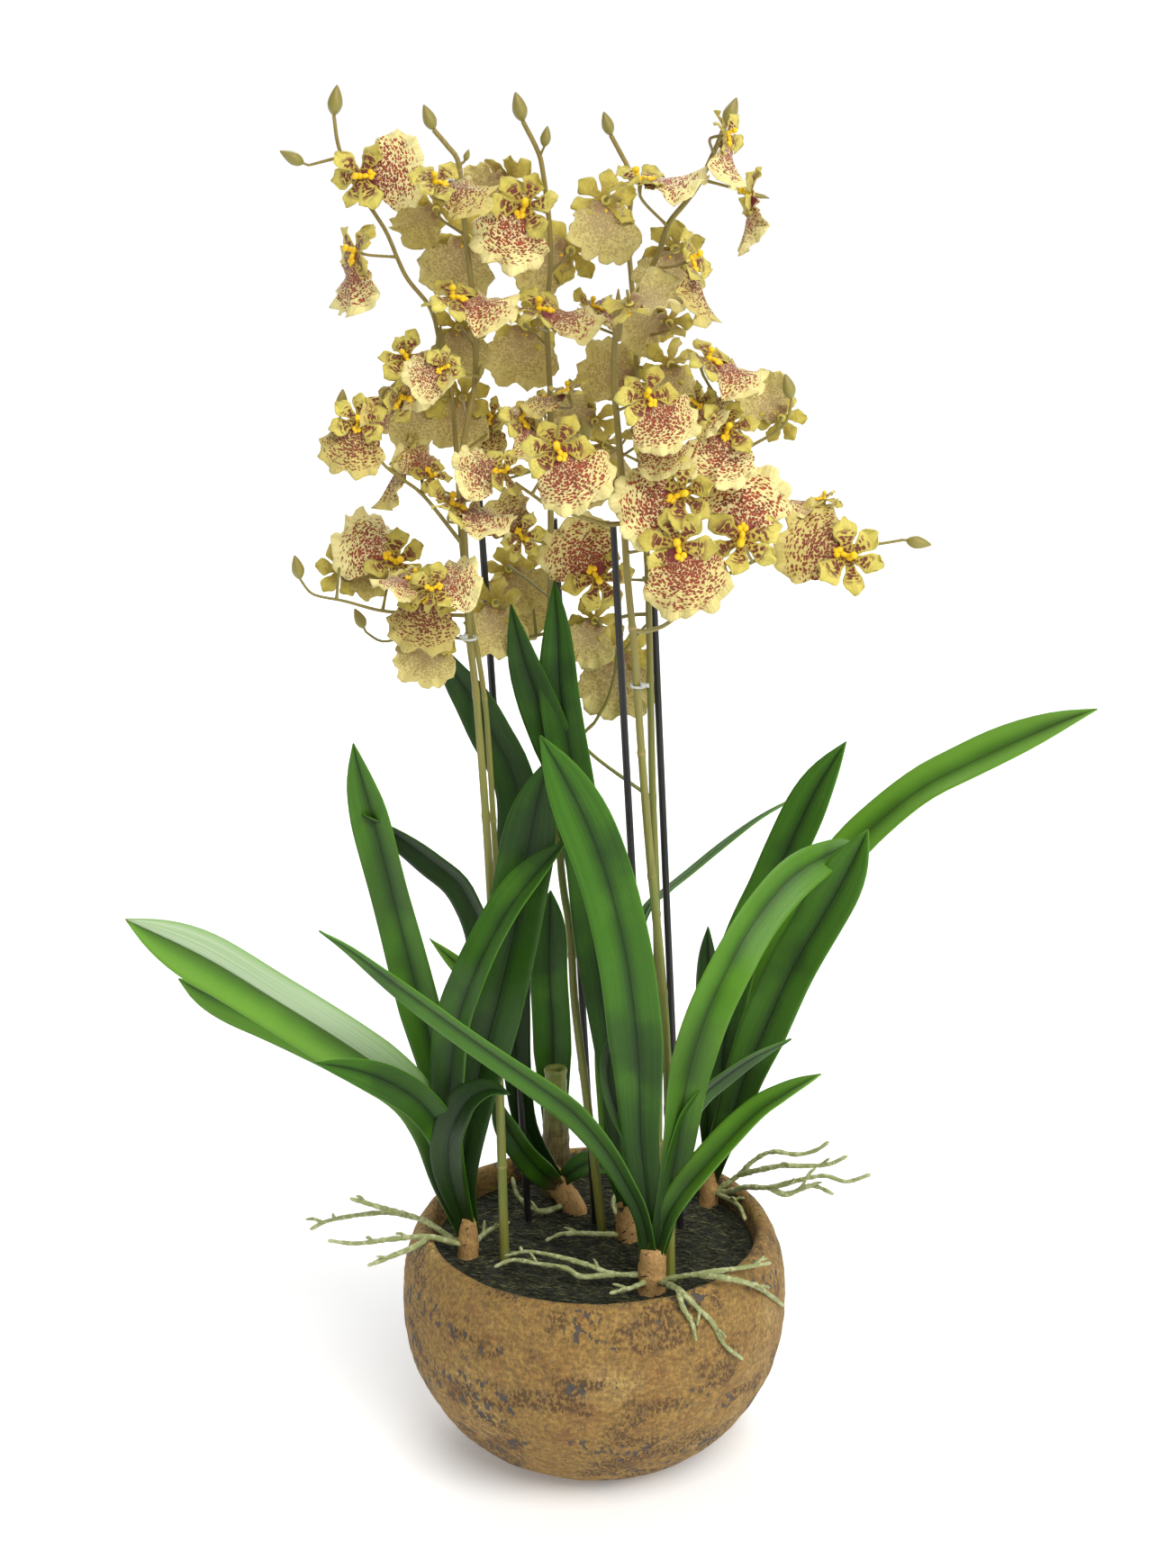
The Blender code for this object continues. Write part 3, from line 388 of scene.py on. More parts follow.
# Bowl outline, mm: outside from the foot up, the rolled rim, then the inside down to the floor
BOWL_OUTSIDE = [(48, 0), (55, 0.7), (67, 4.2), (79.5, 10), (91.5, 20), (102, 33), (111, 48), (117.4, 62),
                (121, 77), (122.6, 92), (122.8, 106), (122, 118), (120, 129), (117, 138), (114.4, 144),
                (111.4, 148.4)]
BOWL_RIM = [(108.6, 150.2), (105.6, 149.4), (103.6, 146.8), (102.8, 143)]
BOWL_INSIDE = [(102.3, 134), (102, 125), (100.4, 102), (98, 80), (92, 56), (84, 35), (73, 22), (60, 12),
               (30, 12)]

# Fineness of the meshes, and small sizes in mm
BOWL_OUTSIDE_ROWS = 70
LEAF_ROWS = 46
LEAF_COLUMNS = 13
LEAF_THICK = 1.4
PETAL_ROWS = 10
PETAL_COLUMNS = 9
PETAL_THICK = 0.6
LIP_RINGS = 11
LIP_SPOKES = 64
LIP_THICK = 0.6
LIP_MAP = 50
BUD_LENGTH = 15
JOINT_GAP = 78
STEM_GIRTH = 0.9
ROOT_THICK = 2.15
ROOTLET_THICK = 1.35
WRAP_ROWS = 26
WRAP_SIDES = 28
MOSS_RINGS = 44
MOSS_SIDES = 120
MOSS_EDGE = 101.2
WIDE_LEAF = 23

# Stage: strength of the sky as a light and as seen, and the floor's own glow
SKY_LIGHT = 0.42
SKY_SEEN = 1.05
FLOOR_GLOW = 0.16

# Large bracts on a stem, by spray: the place of the foot and the length
BRACTS = {
    "spray_front": [((13, 722, -50), 30)],
    "spray_far_left": [((-90, 706, -9), 26)],
}

# Tone of each leaf, in its plant's order: above 0.5 yellower, below 0.5 darker, and from 0.82 up with a
# painted sheen
LEAF_TONES = {
    "plant_front": (0.45, 0.66, 0.7, 0.25, 0.58, 0.1),
    "plant_left": (1.0, 0.7, 0.4, 0.6, 0.15, 0.35, 0.2, 0.05, 0.8),
    "plant_right": (0.58, 0.56, 0.4, 0.8),
    "plant_middle": (0.3, 0.25, 0.86, 0.4, 0.2),
    "plant_back": (0.1, 0.25, 0.25),
}


def sight(x, z, depth=0.0):
    """A place seen at x, z on the upright plane, moved this far behind it along its line of sight."""
    seen = Vector((x, 0.0, z))
    return EYE + (seen - EYE) * (1 + depth / -EYE.y)


def smooth_path(points, count):
    """count places at even steps along a smooth curve through the given ones."""
    ends = [points[0] * 2 - points[1], *points, points[-1] * 2 - points[-2]]
    fine = []
    for a, b, c, d in zip(ends, ends[1:], ends[2:], ends[3:]):
        for step in range(12):
            t = step / 12
            fine.append(0.5 * (2 * b + (c - a) * t + (2 * a - 5 * b + 4 * c - d) * t * t
                               + (3 * b - a - 3 * c + d) * t ** 3))
    fine.append(points[-1])
    lengths = [0.0]
    for a, b in zip(fine, fine[1:]):
        lengths.append(lengths[-1] + (b - a).length)
    path = []
    place = 0
    for station in range(count):
        goal = lengths[-1] * station / (count - 1)
        while place < len(fine) - 2 and lengths[place + 1] < goal:
            place += 1
        span = max(lengths[place + 1] - lengths[place], 1e-9)
        path.append(fine[place].lerp(fine[place + 1], (goal - lengths[place]) / span))
    return path


def tangents(path):
    """The way a path runs at each of its places."""
    last = len(path) - 1
    return [(path[min(i + 1, last)] - path[max(i - 1, 0)]).normalized() for i in range(last + 1)]


def path_length(path):
    """How long a path is."""
    return sum((b - a).length for a, b in zip(path, path[1:]))


def nearest_on(paths, goal):
    """The place on any of these paths that is nearest to the goal."""
    best = None
    for path in paths:
        for a, b in zip(path, path[1:]):
            span = b - a
            share = min(max((goal - a).dot(span) / span.length_squared, 0.0), 1.0)
            place = a + span * share
            if best is None or (place - goal).length < (best - goal).length:
                best = place
    return best


def depth_along(depths, along):
    """The depth at a share of the way, from those at the start, the middle and the end."""
    first, middle, last = depths
    if along < 0.5:
        return first + (middle - first) * along * 2
    return middle + (last - middle) * (along * 2 - 1)


def between(rows, at):
    """Value at a place in a list of rising (place, value) rows, joined by smooth steps."""
    for (low, first), (high, second) in zip(rows, rows[1:]):
        if at <= high:
            share = min(max((at - low) / (high - low), 0.0), 1.0)
            return first + (second - first) * share * share * (3 - 2 * share)
    return rows[-1][1]


class Surface:
    """A mesh in the making: places in mm, faces, and for each point a pattern place and values."""

    def __init__(self):
        """Starts without points."""
        self.points = []
        self.faces = []
        self.pairs = []
        self.values = {"back": [], "tone": []}

    def add(self, point, pair=(0.0, 0.0), back=0.0, tone=0.5):
        """Adds a point and gives its number."""
        self.points.append(Vector(point))
        self.pairs.append(pair)
        self.values["back"].append(back)
        self.values["tone"].append(tone)
        return len(self.points) - 1

    def skin(self, rings, outward=True):
        """Joins rings of points by faces."""
        for lower, upper in zip(rings, rings[1:]):
            for side, (here, above) in enumerate(zip(lower, upper)):
                after = (side + 1) % len(lower)
                corners = (lower[after], upper[after], above)
                corners = corners if outward else corners[::-1]
                self.faces.append((here, *corners))

    def close(self, rings):
        """Closes a body of rings at its first and its last one."""
        self.skin(rings)
        self.faces += [tuple(reversed(rings[0])), tuple(rings[-1])]

    def map_height(self, foot, span):
        """Makes the second value of the pattern map the height over a foot, as a share of a span."""
        self.pairs = [(pair[0], (point.z - foot) / span) for pair, point in zip(self.pairs, self.points)]

    def mesh(self, name, finish):
        """The mesh in metres, with its pattern map, its values and its finish."""
        made = bpy.data.meshes.new(name)
        made.from_pydata([point * MM for point in self.points], [], self.faces)
        chart = made.uv_layers.new(name="UVMap")
        for loop in made.loops:
            chart.data[loop.index].uv = self.pairs[loop.vertex_index]
        for label, values in self.values.items():
            held = made.attributes.new(label, "FLOAT", "POINT")
            held.data.foreach_set("value", values)
        made.materials.append(finish)
        made.polygons.foreach_set("use_smooth", [True] * len(made.polygons))
        made.update()
        return made

    def object(self, name, finish):
        """The mesh as an object in the scene."""
        made = bpy.data.objects.new(name, self.mesh(name, finish))
        bpy.context.scene.collection.objects.link(made)
        return made


def add_sheet(surface, grid, thick, pair_of, tone, round_edge=0.0):
    """Adds a closed thin sheet whose middle is a grid of rows of places."""
    rows = len(grid)
    columns = len(grid[0])
    sides = []
    for face in (1, -1):
        side = []
        for r in range(rows):
            line = []
            for c in range(columns):
                down = grid[min(r + 1, rows - 1)][c] - grid[max(r - 1, 0)][c]
                over = grid[r][min(c + 1, columns - 1)] - grid[r][max(c - 1, 0)]
                normal = over.cross(down)
                if normal.length < 1e-9:
                    normal = Vector((0, 0, 1))
                normal.normalize()
                edge = min(r, rows - 1 - r, c, columns - 1 - c)
                half = thick / 2 * (1 - round_edge if edge == 0 else 1)
                place = grid[r][c] + normal * (half * face)
                line.append(surface.add(place, pair_of(r, c), (1 - face) / 2, tone))
            side.append(line)
        sides.append(side)
    front, back = sides
    for r in range(rows - 1):
        for c in range(columns - 1):
            surface.faces.append((front[r][c], front[r][c + 1], front[r + 1][c + 1], front[r + 1][c]))
            surface.faces.append((back[r][c], back[r + 1][c], back[r + 1][c + 1], back[r][c + 1]))
    loop = [(0, c) for c in range(columns)] + [(r, columns - 1) for r in range(1, rows)]
    loop += [(rows - 1, c) for c in range(columns - 2, -1, -1)] + [(r, 0) for r in range(rows - 2, 0, -1)]
    for (r, c), (s, d) in zip(loop, loop[1:] + loop[:1]):
        surface.faces.append((front[s][d], front[r][c], back[r][c], back[s][d]))


def add_rod(surface, path, radii, sides, tone=0.5, wobble=None):
    """Adds a closed round rod. wobble gives a share of the radius for a station and a side."""
    ways = tangents(path)
    across = ways[0].orthogonal().normalized()
    rings = []
    run = 0.0
    for station, (place, way, radius) in enumerate(zip(path, ways, radii)):
        if station:
            run += (place - path[station - 1]).length
        across = (across - way * across.dot(way)).normalized()
        other = way.cross(across)
        ring = []
        for side in range(sides):
            turn = 2 * math.pi * side / sides
            out = across * math.cos(turn) + other * math.sin(turn)
            reach = radius * (wobble(station, side) if wobble else 1)
            ring.append(surface.add(place + out * reach, (side / sides, run / 100), 0.0, tone))
        rings.append(ring)
    surface.close(rings)


def add_knob(surface, middle, axes, bumps=0.0, seed=0, sides=10, tone=0.5):
    """Adds a closed lumpy ball. axes are its three half axes as vectors."""
    rounds = sides // 2
    grid = []
    for ring in range(1, rounds):
        tilt = math.pi * ring / rounds
        line = []
        for side in range(sides):
            turn = 2 * math.pi * side / sides
            way = Vector((math.sin(tilt) * math.cos(turn), math.sin(tilt) * math.sin(turn), math.cos(tilt)))
            swell = 1 + bumps * noise.noise(way * 2.1 + Vector((seed, 0, 0)))
            place = middle + (axes[0] * way.x + axes[1] * way.y + axes[2] * way.z) * swell
            line.append(surface.add(place, (side / sides, ring / rounds), 0.0, tone))
        grid.append(line)
    top = surface.add(middle + axes[2], (0.5, 0), 0.0, tone)
    bottom = surface.add(middle - axes[2], (0.5, 1), 0.0, tone)
    handed = axes[0].cross(axes[1]).dot(axes[2]) > 0
    start = len(surface.faces)
    for side in range(sides):
        after = (side + 1) % sides
        surface.faces.append((top, grid[0][side], grid[0][after]))
        surface.faces.append((bottom, grid[-1][after], grid[-1][side]))
        for upper, lower in zip(grid, grid[1:]):
            surface.faces.append((upper[side], lower[side], lower[after], upper[after]))
    if not handed:
        surface.faces[start:] = [tuple(reversed(face)) for face in surface.faces[start:]]


def finished(piece, slot, *nodes):
    """Makes a piece part of the object: it rides on the one body and stands for these frame nodes."""
    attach(piece, "root")
    if nodes:
        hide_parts(*nodes)
    return piece


def srgb(text):
    """Linear red, green and blue of a colour written as six hexadecimal digits."""
    shares = [int(text[place:place + 2], 16) / 255 for place in (0, 2, 4)]
    return tuple(share / 12.92 if share <= 0.04045 else ((share + 0.055) / 1.055) ** 2.4
                 for share in shares)


def put(tree, kind, inputs=None, **settings):
    """Adds a node and gives its outputs. Each input, by name or number, gets a value or a link."""
    node = tree.nodes.new(kind)
    for label, value in settings.items():
        setattr(node, label, value)
    for label, value in (inputs or {}).items():
        socket = node.inputs[label]
        if isinstance(value, bpy.types.NodeSocket):
            tree.links.new(value, socket)
        elif socket.type == "RGBA" and len(value) == 3:
            socket.default_value = (*value, 1)
        else:
            socket.default_value = value
    return node.outputs


def math_of(tree, operation, *values):
    """The result of one sum."""
    return put(tree, "ShaderNodeMath", dict(enumerate(values)), operation=operation)[0]


def spread(tree, value, low, high, out_low=0.0, out_high=1.0):
    """Maps a value smoothly from one span to another and keeps it inside."""
    return put(tree, "ShaderNodeMapRange", {"Value": value, "From Min": low, "From Max": high,
                                            "To Min": out_low, "To Max": out_high},
               interpolation_type="SMOOTHSTEP")["Result"]


def new_group(name, inputs, outputs):
    """An empty shader group with named sockets, each given as (name, socket kind, default)."""
    tree = bpy.data.node_groups.new(name, "ShaderNodeTree")
    for label, kind, default in inputs:
        socket = tree.interface.new_socket(label, in_out="INPUT", socket_type=kind)
        if default is not None:
            socket.default_value = default
    for label, kind in outputs:
        tree.interface.new_socket(label, in_out="OUTPUT", socket_type=kind)
    return tree, tree.nodes.new("NodeGroupInput").outputs, tree.nodes.new("NodeGroupOutput").inputs


def streaks_group():
    """Fine lines along one axis of a pattern, as of veins, fibres and scratches."""
    tree, given, made = new_group(
        "streaks",
        [("Vector", "NodeSocketVector", None), ("Fineness", "NodeSocketVector", (40.0, 3.0, 40.0)),
         ("Detail", "NodeSocketFloat", 3.0)],
        [("Mask", "NodeSocketFloat"), ("Height", "NodeSocketFloat")])
    scaled = put(tree, "ShaderNodeVectorMath", {0: given["Vector"], 1: given["Fineness"]},
                 operation="MULTIPLY")
    lines = put(tree, "ShaderNodeTexNoise", {"Vector": scaled[0], "Scale": 1.0,
                                             "Detail": given["Detail"], "Roughness": 0.6})
    tree.links.new(spread(tree, lines["Fac"], 0.36, 0.64), made["Mask"])
    tree.links.new(lines["Fac"], made["Height"])
    return tree


def blotches_group():
    """Soft patches of a chosen size, where Fill is the share of the surface that they take."""
    tree, given, made = new_group("blotches", [("Vector", "NodeSocketVector", None),
                                               ("Scale", "NodeSocketFloat", 100.0),
                                               ("Fill", "NodeSocketFloat", 0.3),
                                               ("Softness", "NodeSocketFloat", 0.06),
                                               ("Detail", "NodeSocketFloat", 3.0)],
                                  [("Mask", "NodeSocketFloat"), ("Height", "NodeSocketFloat")])
    cloud = put(tree, "ShaderNodeTexNoise", {"Vector": given["Vector"], "Scale": given["Scale"],
                                             "Detail": given["Detail"], "Roughness": 0.55})
    line = math_of(tree, "SUBTRACT", 0.72, math_of(tree, "MULTIPLY", given["Fill"], 0.42))
    high = math_of(tree, "ADD", line, given["Softness"])
    tree.links.new(spread(tree, cloud["Fac"], line, high), made["Mask"])
    tree.links.new(cloud["Fac"], made["Height"])
    return tree


def flecks_group():
    """Round to long spots that stand in rows, whose size is a share of their spacing."""
    tree, given, made = new_group("flecks", [("Vector", "NodeSocketVector", None),
                                             ("Scale", "NodeSocketFloat", 1.0),
                                             ("Size", "NodeSocketFloat", 0.4)],
                                  [("Mask", "NodeSocketFloat")])
    waver = put(tree, "ShaderNodeTexNoise", {"Vector": given["Vector"], "Scale": 0.9, "Detail": 2.0})
    shift = put(tree, "ShaderNodeVectorMath", {0: waver["Color"], 3: 0.9}, operation="SCALE")
    moved = put(tree, "ShaderNodeVectorMath", {0: given["Vector"], 1: shift[0]}, operation="ADD")
    cells = put(tree, "ShaderNodeTexVoronoi", {"Vector": moved[0], "Scale": given["Scale"],
                                               "Randomness": 0.75})
    inner = math_of(tree, "SUBTRACT", given["Size"], 0.1)
    mask = spread(tree, cells["Distance"], inner, given["Size"], 1.0, 0.0)
    tree.links.new(mask, made["Mask"])
    return tree


class Paint:
    """A finish in the making, with short words for its shader nodes. Values are numbers or sockets."""

    def __init__(self, name, roughness, **constants):
        """Starts a material. place is the object's own coordinates and pattern its pattern map."""
        self.finish = bpy.data.materials.new(name)
        self.finish.use_nodes = True
        self.tree = self.finish.node_tree
        self.shader = self.tree.nodes["Principled BSDF"]
        self.shader.inputs["Roughness"].default_value = roughness
        for label, value in constants.items():
            self.shader.inputs[label.replace("_", " ")].default_value = value
        charts = self.tree.nodes.new("ShaderNodeTexCoord").outputs
        self.place = charts["Object"]
        self.pattern = charts["UV"]
        self.body = None

    def put(self, kind, inputs, **settings):
        """Adds a node and gives its outputs."""
        return put(self.tree, kind, inputs, **settings)

    def use(self, name, **inputs):
        """Adds one of the shared effects and gives its outputs."""
        return self.put("ShaderNodeGroup", inputs, node_tree=bpy.data.node_groups[name])

    def blotches(self, **inputs):
        """Soft patches over the object, or over another Vector."""
        return self.use("blotches", **{"Vector": self.place, **inputs})

    def streaks(self, **inputs):
        """Fine lines along the pattern map, or along another Vector."""
        return self.use("streaks", **{"Vector": self.pattern, **inputs})

    def value(self, label):
        """A value that the points bring along, by its name."""
        return self.put("ShaderNodeAttribute", {}, attribute_name=label)["Fac"]

    def axes(self):
        """The two values of the pattern map: across and along."""
        return self.put("ShaderNodeSeparateXYZ", {0: self.pattern})[:2]

    def math(self, operation, *values):
        """The result of one sum."""
        return math_of(self.tree, operation, *values)

    def times(self, first, second):
        """One value times another."""
        return self.math("MULTIPLY", first, second)

    def plus(self, first, second):
        """Two values together."""
        return self.math("ADD", first, second)

    def less(self, first, second):
        """The first value without the second."""
        return self.math("SUBTRACT", first, second)

    def length(self, over, along):
        """The length of the arrow with these two parts."""
        return self.math("SQRT", self.plus(self.times(over, over), self.times(along, along)))

    def spread(self, value, *spans):
        """Maps a value smoothly from one span to another."""
        return spread(self.tree, value, *spans)

    def blend(self, share, first, second):
        """A mix of two colours, with this share of the second."""
        return self.put("ShaderNodeMix", {0: share, 6: first, 7: second}, data_type="RGBA")[2]

    def cover(self, share, colour, most=1.0):
        """Lays a colour over the body as share says, and never more than most."""
        self.body = self.blend(self.times(share, most) if most < 1 else share, self.body, colour)

    def done(self, height=None, depth=0.0, strength=1.0):
        """Gives the material its body colour and, from a height, its relief."""
        self.tree.links.new(self.body, self.shader.inputs["Base Color"])
        if height is not None:
            bump = self.put("ShaderNodeBump", {"Height": height, "Distance": depth, "Strength": strength})
            self.tree.links.new(bump["Normal"], self.shader.inputs["Normal"])
        return self.finish


def leaf_finish(colours):
    """Glossy mottled green with fine veins, a dark rib line in painted groove shade, painted shade at the
    foot, yellower margins and a painted sheen on pale leaves.
    """
    paint = Paint("leaf_green", 0.34, Specular_IOR_Level=0.28)
    over, along = paint.axes()
    side = paint.times(paint.math("ABSOLUTE", paint.less(over, 0.5)), 2.0)
    veins = paint.streaks(Fineness=(75.0, 1.6, 1.0), Detail=4.0)
    clouds = paint.blotches(Scale=24.0, Fill=0.5, Softness=0.3)
    # Darker towards the midrib: painted shade of the folded groove.
    paint.body = paint.blend(paint.spread(side, 0.0, 0.5, 0.4), colours.leaf_deep_and_shade, colours.leaf)
    paint.cover(clouds["Mask"], colours.leaf_pale, 0.45)
    dusk = paint.blotches(Scale=11.0, Fill=0.5, Softness=0.12)
    paint.cover(dusk["Mask"], colours.leaf_deep_and_shade, 0.45)
    paint.cover(veins["Mask"], colours.leaf_deep_and_shade, 0.3)
    # Painted shade over the lower part of each leaf, down near the crown.
    paint.cover(paint.spread(along, 0.6, 0.05, 0.0, 0.9), colours.leaf_deep_and_shade)
    # A dark rib line, and beside it a soft painted shadow along the groove.
    rib = paint.spread(side, 0.02, 0.06, 1.0, 0.0)
    shadow = paint.spread(side, 0.0, 0.24, 0.3, 0.0)
    paint.cover(paint.math("MAXIMUM", shadow, paint.times(rib, 0.65)), colours.leaf_rib_and_shade)
    edge = paint.spread(side, 0.95, 1.0)
    paint.cover(edge, colours.leaf_pale, 0.35)
    tone = paint.value("tone")
    pale = paint.times(paint.spread(tone, 0.5, 0.85, 0.0, 0.7), paint.spread(along, 0.1, 0.5))
    pale = paint.times(pale, paint.spread(side, 0.1, 0.8, 0.3))
    paint.cover(pale, colours.leaf_yellow)
    dark = paint.spread(tone, 0.5, 0.0, 0.0, 0.85)
    paint.cover(dark, colours.leaf_deep_and_shade)
    back = paint.times(paint.value("back"), 0.35)
    paint.cover(back, colours.leaf_pale)
    # Painted sheen: a pale streaky band on one half of the palest leaves, standing in for gloss.
    upper = paint.times(paint.spread(over, 0.5, 0.56), paint.spread(over, 1.0, 0.9, 0.4))
    band = paint.times(upper, paint.spread(along, 0.2, 0.6))
    band = paint.times(band, paint.spread(veins["Height"], 0.3, 0.6, 0.5, 1.0))
    gleam = paint.times(band, paint.spread(tone, 0.82, 1.0, 0.0, 0.8))
    paint.cover(gleam, colours.leaf_painted_sheen)
    paint.tree.links.new(paint.spread(veins["Height"], 0.3, 0.7, 0.27, 0.42),
                         paint.shader.inputs["Roughness"])
    height = paint.less(paint.times(veins["Height"], 0.6), rib)
    return paint.done(height, 0.0006, 0.7)


def sheath_finish(colours):
    """Dry papery wraps with dark slanting cracks."""
    paint = Paint("sheath_paper", 0.75)
    slant = paint.put("ShaderNodeMapping", {"Vector": paint.place, "Rotation": (0.5, 0.4, 0.0)})
    fibres = paint.streaks(Vector=slant[0], Fineness=(900.0, 900.0, 60.0), Detail=4.0)
    cracks = paint.streaks(Vector=slant[0], Fineness=(110.0, 110.0, 420.0))
    dark = paint.spread(cracks["Height"], 0.62, 0.68)
    paint.body = paint.blend(fibres["Mask"], colours.sheath, colours.sheath_pale)
    paint.cover(dark, colours.sheath_dark)
    return paint.done(paint.less(fibres["Height"], dark), 0.0006)


def root_finish(colours):
    """Matt pale green skin with knots, specks of dirt and a paler tip."""
    paint = Paint("root_skin", 0.7)
    knots = paint.blotches(Scale=260.0, Fill=0.55, Softness=0.12)
    dirt = paint.blotches(Scale=620.0, Fill=0.3, Softness=0.08)
    paint.body = paint.blend(knots["Mask"], colours.root, colours.root_pale)
    paint.cover(dirt["Mask"], colours.root_dark, 0.7)
    tip = paint.spread(paint.value("tone"), 0.6, 1.0)
    paint.cover(tip, colours.root_pale)
    return paint.done(knots["Height"], 0.0012)


def stem_finish(colours):
    """Satin olive skin, greener below, with fine lines and pale rings."""
    paint = Paint("stem_skin", 0.45)
    lines = paint.streaks(Vector=paint.place, Fineness=(700.0, 700.0, 14.0))
    clouds = paint.blotches(Scale=30.0, Fill=0.6, Softness=0.3)
    tall = paint.put("ShaderNodeSeparateXYZ", {0: paint.place})[2]
    young = paint.plus(paint.times(clouds["Mask"], 0.35), paint.spread(tall, 0.7, 0.35, 0.0, 0.65))
    paint.body = paint.blend(young, colours.stem, colours.stem_green)
    paint.cover(lines["Mask"], colours.stem_dark, 0.4)
    ring = paint.spread(paint.value("tone"), 0.6, 1.0)
    paint.cover(ring, colours.sheath_pale)
    return paint.done(lines["Height"], 0.0003)


def bud_finish(colours):
    """Olive skin with fine lengthwise lines."""
    paint = Paint("bud_skin", 0.42, Coat_Weight=0.1)
    lines = paint.streaks(Fineness=(16.0, 2.0, 1.0))
    paint.body = paint.blend(lines["Mask"], colours.bud, colours.stem)
    clouds = paint.blotches(Scale=120.0, Fill=0.35, Softness=0.25)
    paint.cover(clouds["Mask"], colours.stem_dark, 0.5)
    return paint.done(lines["Height"], 0.0004)


def petal_finish(colours):
    """Cream cloth with red brown bars across its lower half, olive at the foot and behind, and painted
    shade in olive over blooms of higher tone.
    """
    paint = Paint("petal_cloth", 0.6, Sheen_Weight=0.15)
    over, along = paint.axes()
    veins = paint.streaks(Fineness=(22.0, 1.5, 1.0))
    foot = paint.spread(along, 0.7, 0.1, 0.0, 0.75)
    paint.body = paint.blend(foot, colours.petal, colours.petal_olive)
    paint.cover(veins["Mask"], colours.petal_olive, 0.3)
    stretched = paint.put("ShaderNodeVectorMath", {0: paint.pattern, 1: (2.6, 11.0, 1.0)},
                          operation="MULTIPLY")
    own = paint.times(paint.value("tone"), 40.0)
    lifted = paint.put("ShaderNodeCombineXYZ", {2: own})
    moved = paint.put("ShaderNodeVectorMath", {0: stretched[0], 1: lifted[0]}, operation="ADD")
    bars = paint.use("flecks", Vector=moved[0], Scale=1.15, Size=0.6)
    reach = paint.spread(along, 0.78, 0.5)
    inside = paint.spread(paint.math("ABSOLUTE", paint.less(over, 0.5)), 0.46, 0.3)
    mask = paint.times(paint.times(bars["Mask"], reach), inside)
    front = paint.less(1.0, paint.times(paint.value("back"), 0.75))
    # Painted shade in olive over blooms of higher tone, and olive on the back side.
    painted_shade = paint.spread(paint.value("tone"), 0.3, 1.0, 0.0, 0.5)
    shade_share = paint.math("MAXIMUM", painted_shade, paint.times(paint.value("back"), 0.45))
    paint.cover(shade_share, colours.petal_olive)
    paint.cover(paint.times(mask, front), colours.petal_spot)
    return paint.done(veins["Height"], 0.0008)


def lip_finish(colours):
    """Pale cream cloth with crimson dashes in wavy rows, which shrink to dots and leave a plain rim; blooms
    of higher tone get painted shade in olive with darker spots.
    """
    paint = Paint("lip_cloth", 0.58, Sheen_Weight=0.15)
    over, along = paint.axes()
    u = paint.less(over, 0.5)
    w = paint.less(along, 0.02)
    turn = paint.math("ARCTAN2", u, w)
    reach = paint.length(u, w)
    own = paint.times(paint.value("tone"), 50.0)
    rows = paint.put("ShaderNodeCombineXYZ",
                     {0: paint.times(turn, 11.5), 1: paint.times(reach, 45.0), 2: own})
    fade = paint.put("ShaderNodeTexNoise", {"Vector": rows[0], "Scale": 0.4, "Detail": 2.0})
    from_middle = paint.length(paint.math("DIVIDE", u, 0.46),
                               paint.math("DIVIDE", paint.less(along, 0.23), 0.45))
    limit = paint.plus(from_middle, paint.times(fade["Fac"], 0.3))
    spots = paint.use("flecks", Vector=rows[0], Scale=1.0, Size=paint.spread(limit, 0.35, 1.12, 0.66, 0.48))
    mask = paint.times(spots["Mask"], paint.spread(limit, 1.18, 1.04))
    aside = paint.less(paint.math("ABSOLUTE", u), 0.085)
    patch = paint.length(paint.math("DIVIDE", aside, 0.075),
                         paint.math("DIVIDE", paint.less(along, 0.03), 0.13))
    throat = paint.spread(patch, 1.15, 0.85)
    veins = paint.streaks(Vector=rows[0], Fineness=(2.4, 0.16, 1.0))
    paint.body = paint.blend(paint.times(veins["Mask"], 0.25), colours.lip, colours.petal_olive)
    paint.cover(paint.spread(limit, 0.85, 0.35, 0.0, 0.5), colours.lip_blush)
    # Painted shade in olive over blooms of higher tone, and olive on the back side.
    painted_shade = paint.spread(paint.value("tone"), 0.4, 1.0, 0.0, 0.6)
    shade_share = paint.math("MAXIMUM", painted_shade, paint.times(paint.value("back"), 0.36))
    paint.cover(shade_share, colours.petal_olive)
    # Spots darker in the painted shade, and in patches at random.
    dark = paint.math("MAXIMUM", painted_shade, paint.spread(fade["Fac"], 0.4, 0.65, 0.0, 0.6))
    deep = paint.blend(dark, colours.lip_spot, colours.lip_spot_dark)
    faded = paint.times(paint.value("back"), 0.7)
    deep = paint.blend(faded, deep, colours.petal_spot)
    front = paint.less(1.0, paint.times(paint.value("back"), 0.62))
    paint.cover(paint.times(mask, front), deep)
    paint.cover(paint.times(throat, front), colours.throat)
    return paint.done(veins["Height"], 0.0012)


def column_finish(colours):
    """Waxy yellow knobs with orange hollows and dark red sides."""
    paint = Paint("column_wax", 0.4)
    clouds = paint.blotches(Scale=420.0, Fill=0.45, Softness=0.2)
    hollows = paint.times(clouds["Mask"], 0.35)
    paint.body = paint.blend(hollows, colours.column, colours.column_deep)
    red = paint.spread(paint.value("tone"), 0.6, 0.9)
    paint.cover(red, colours.lip_spot_dark)
    return paint.done(clouds["Height"], 0.0004)


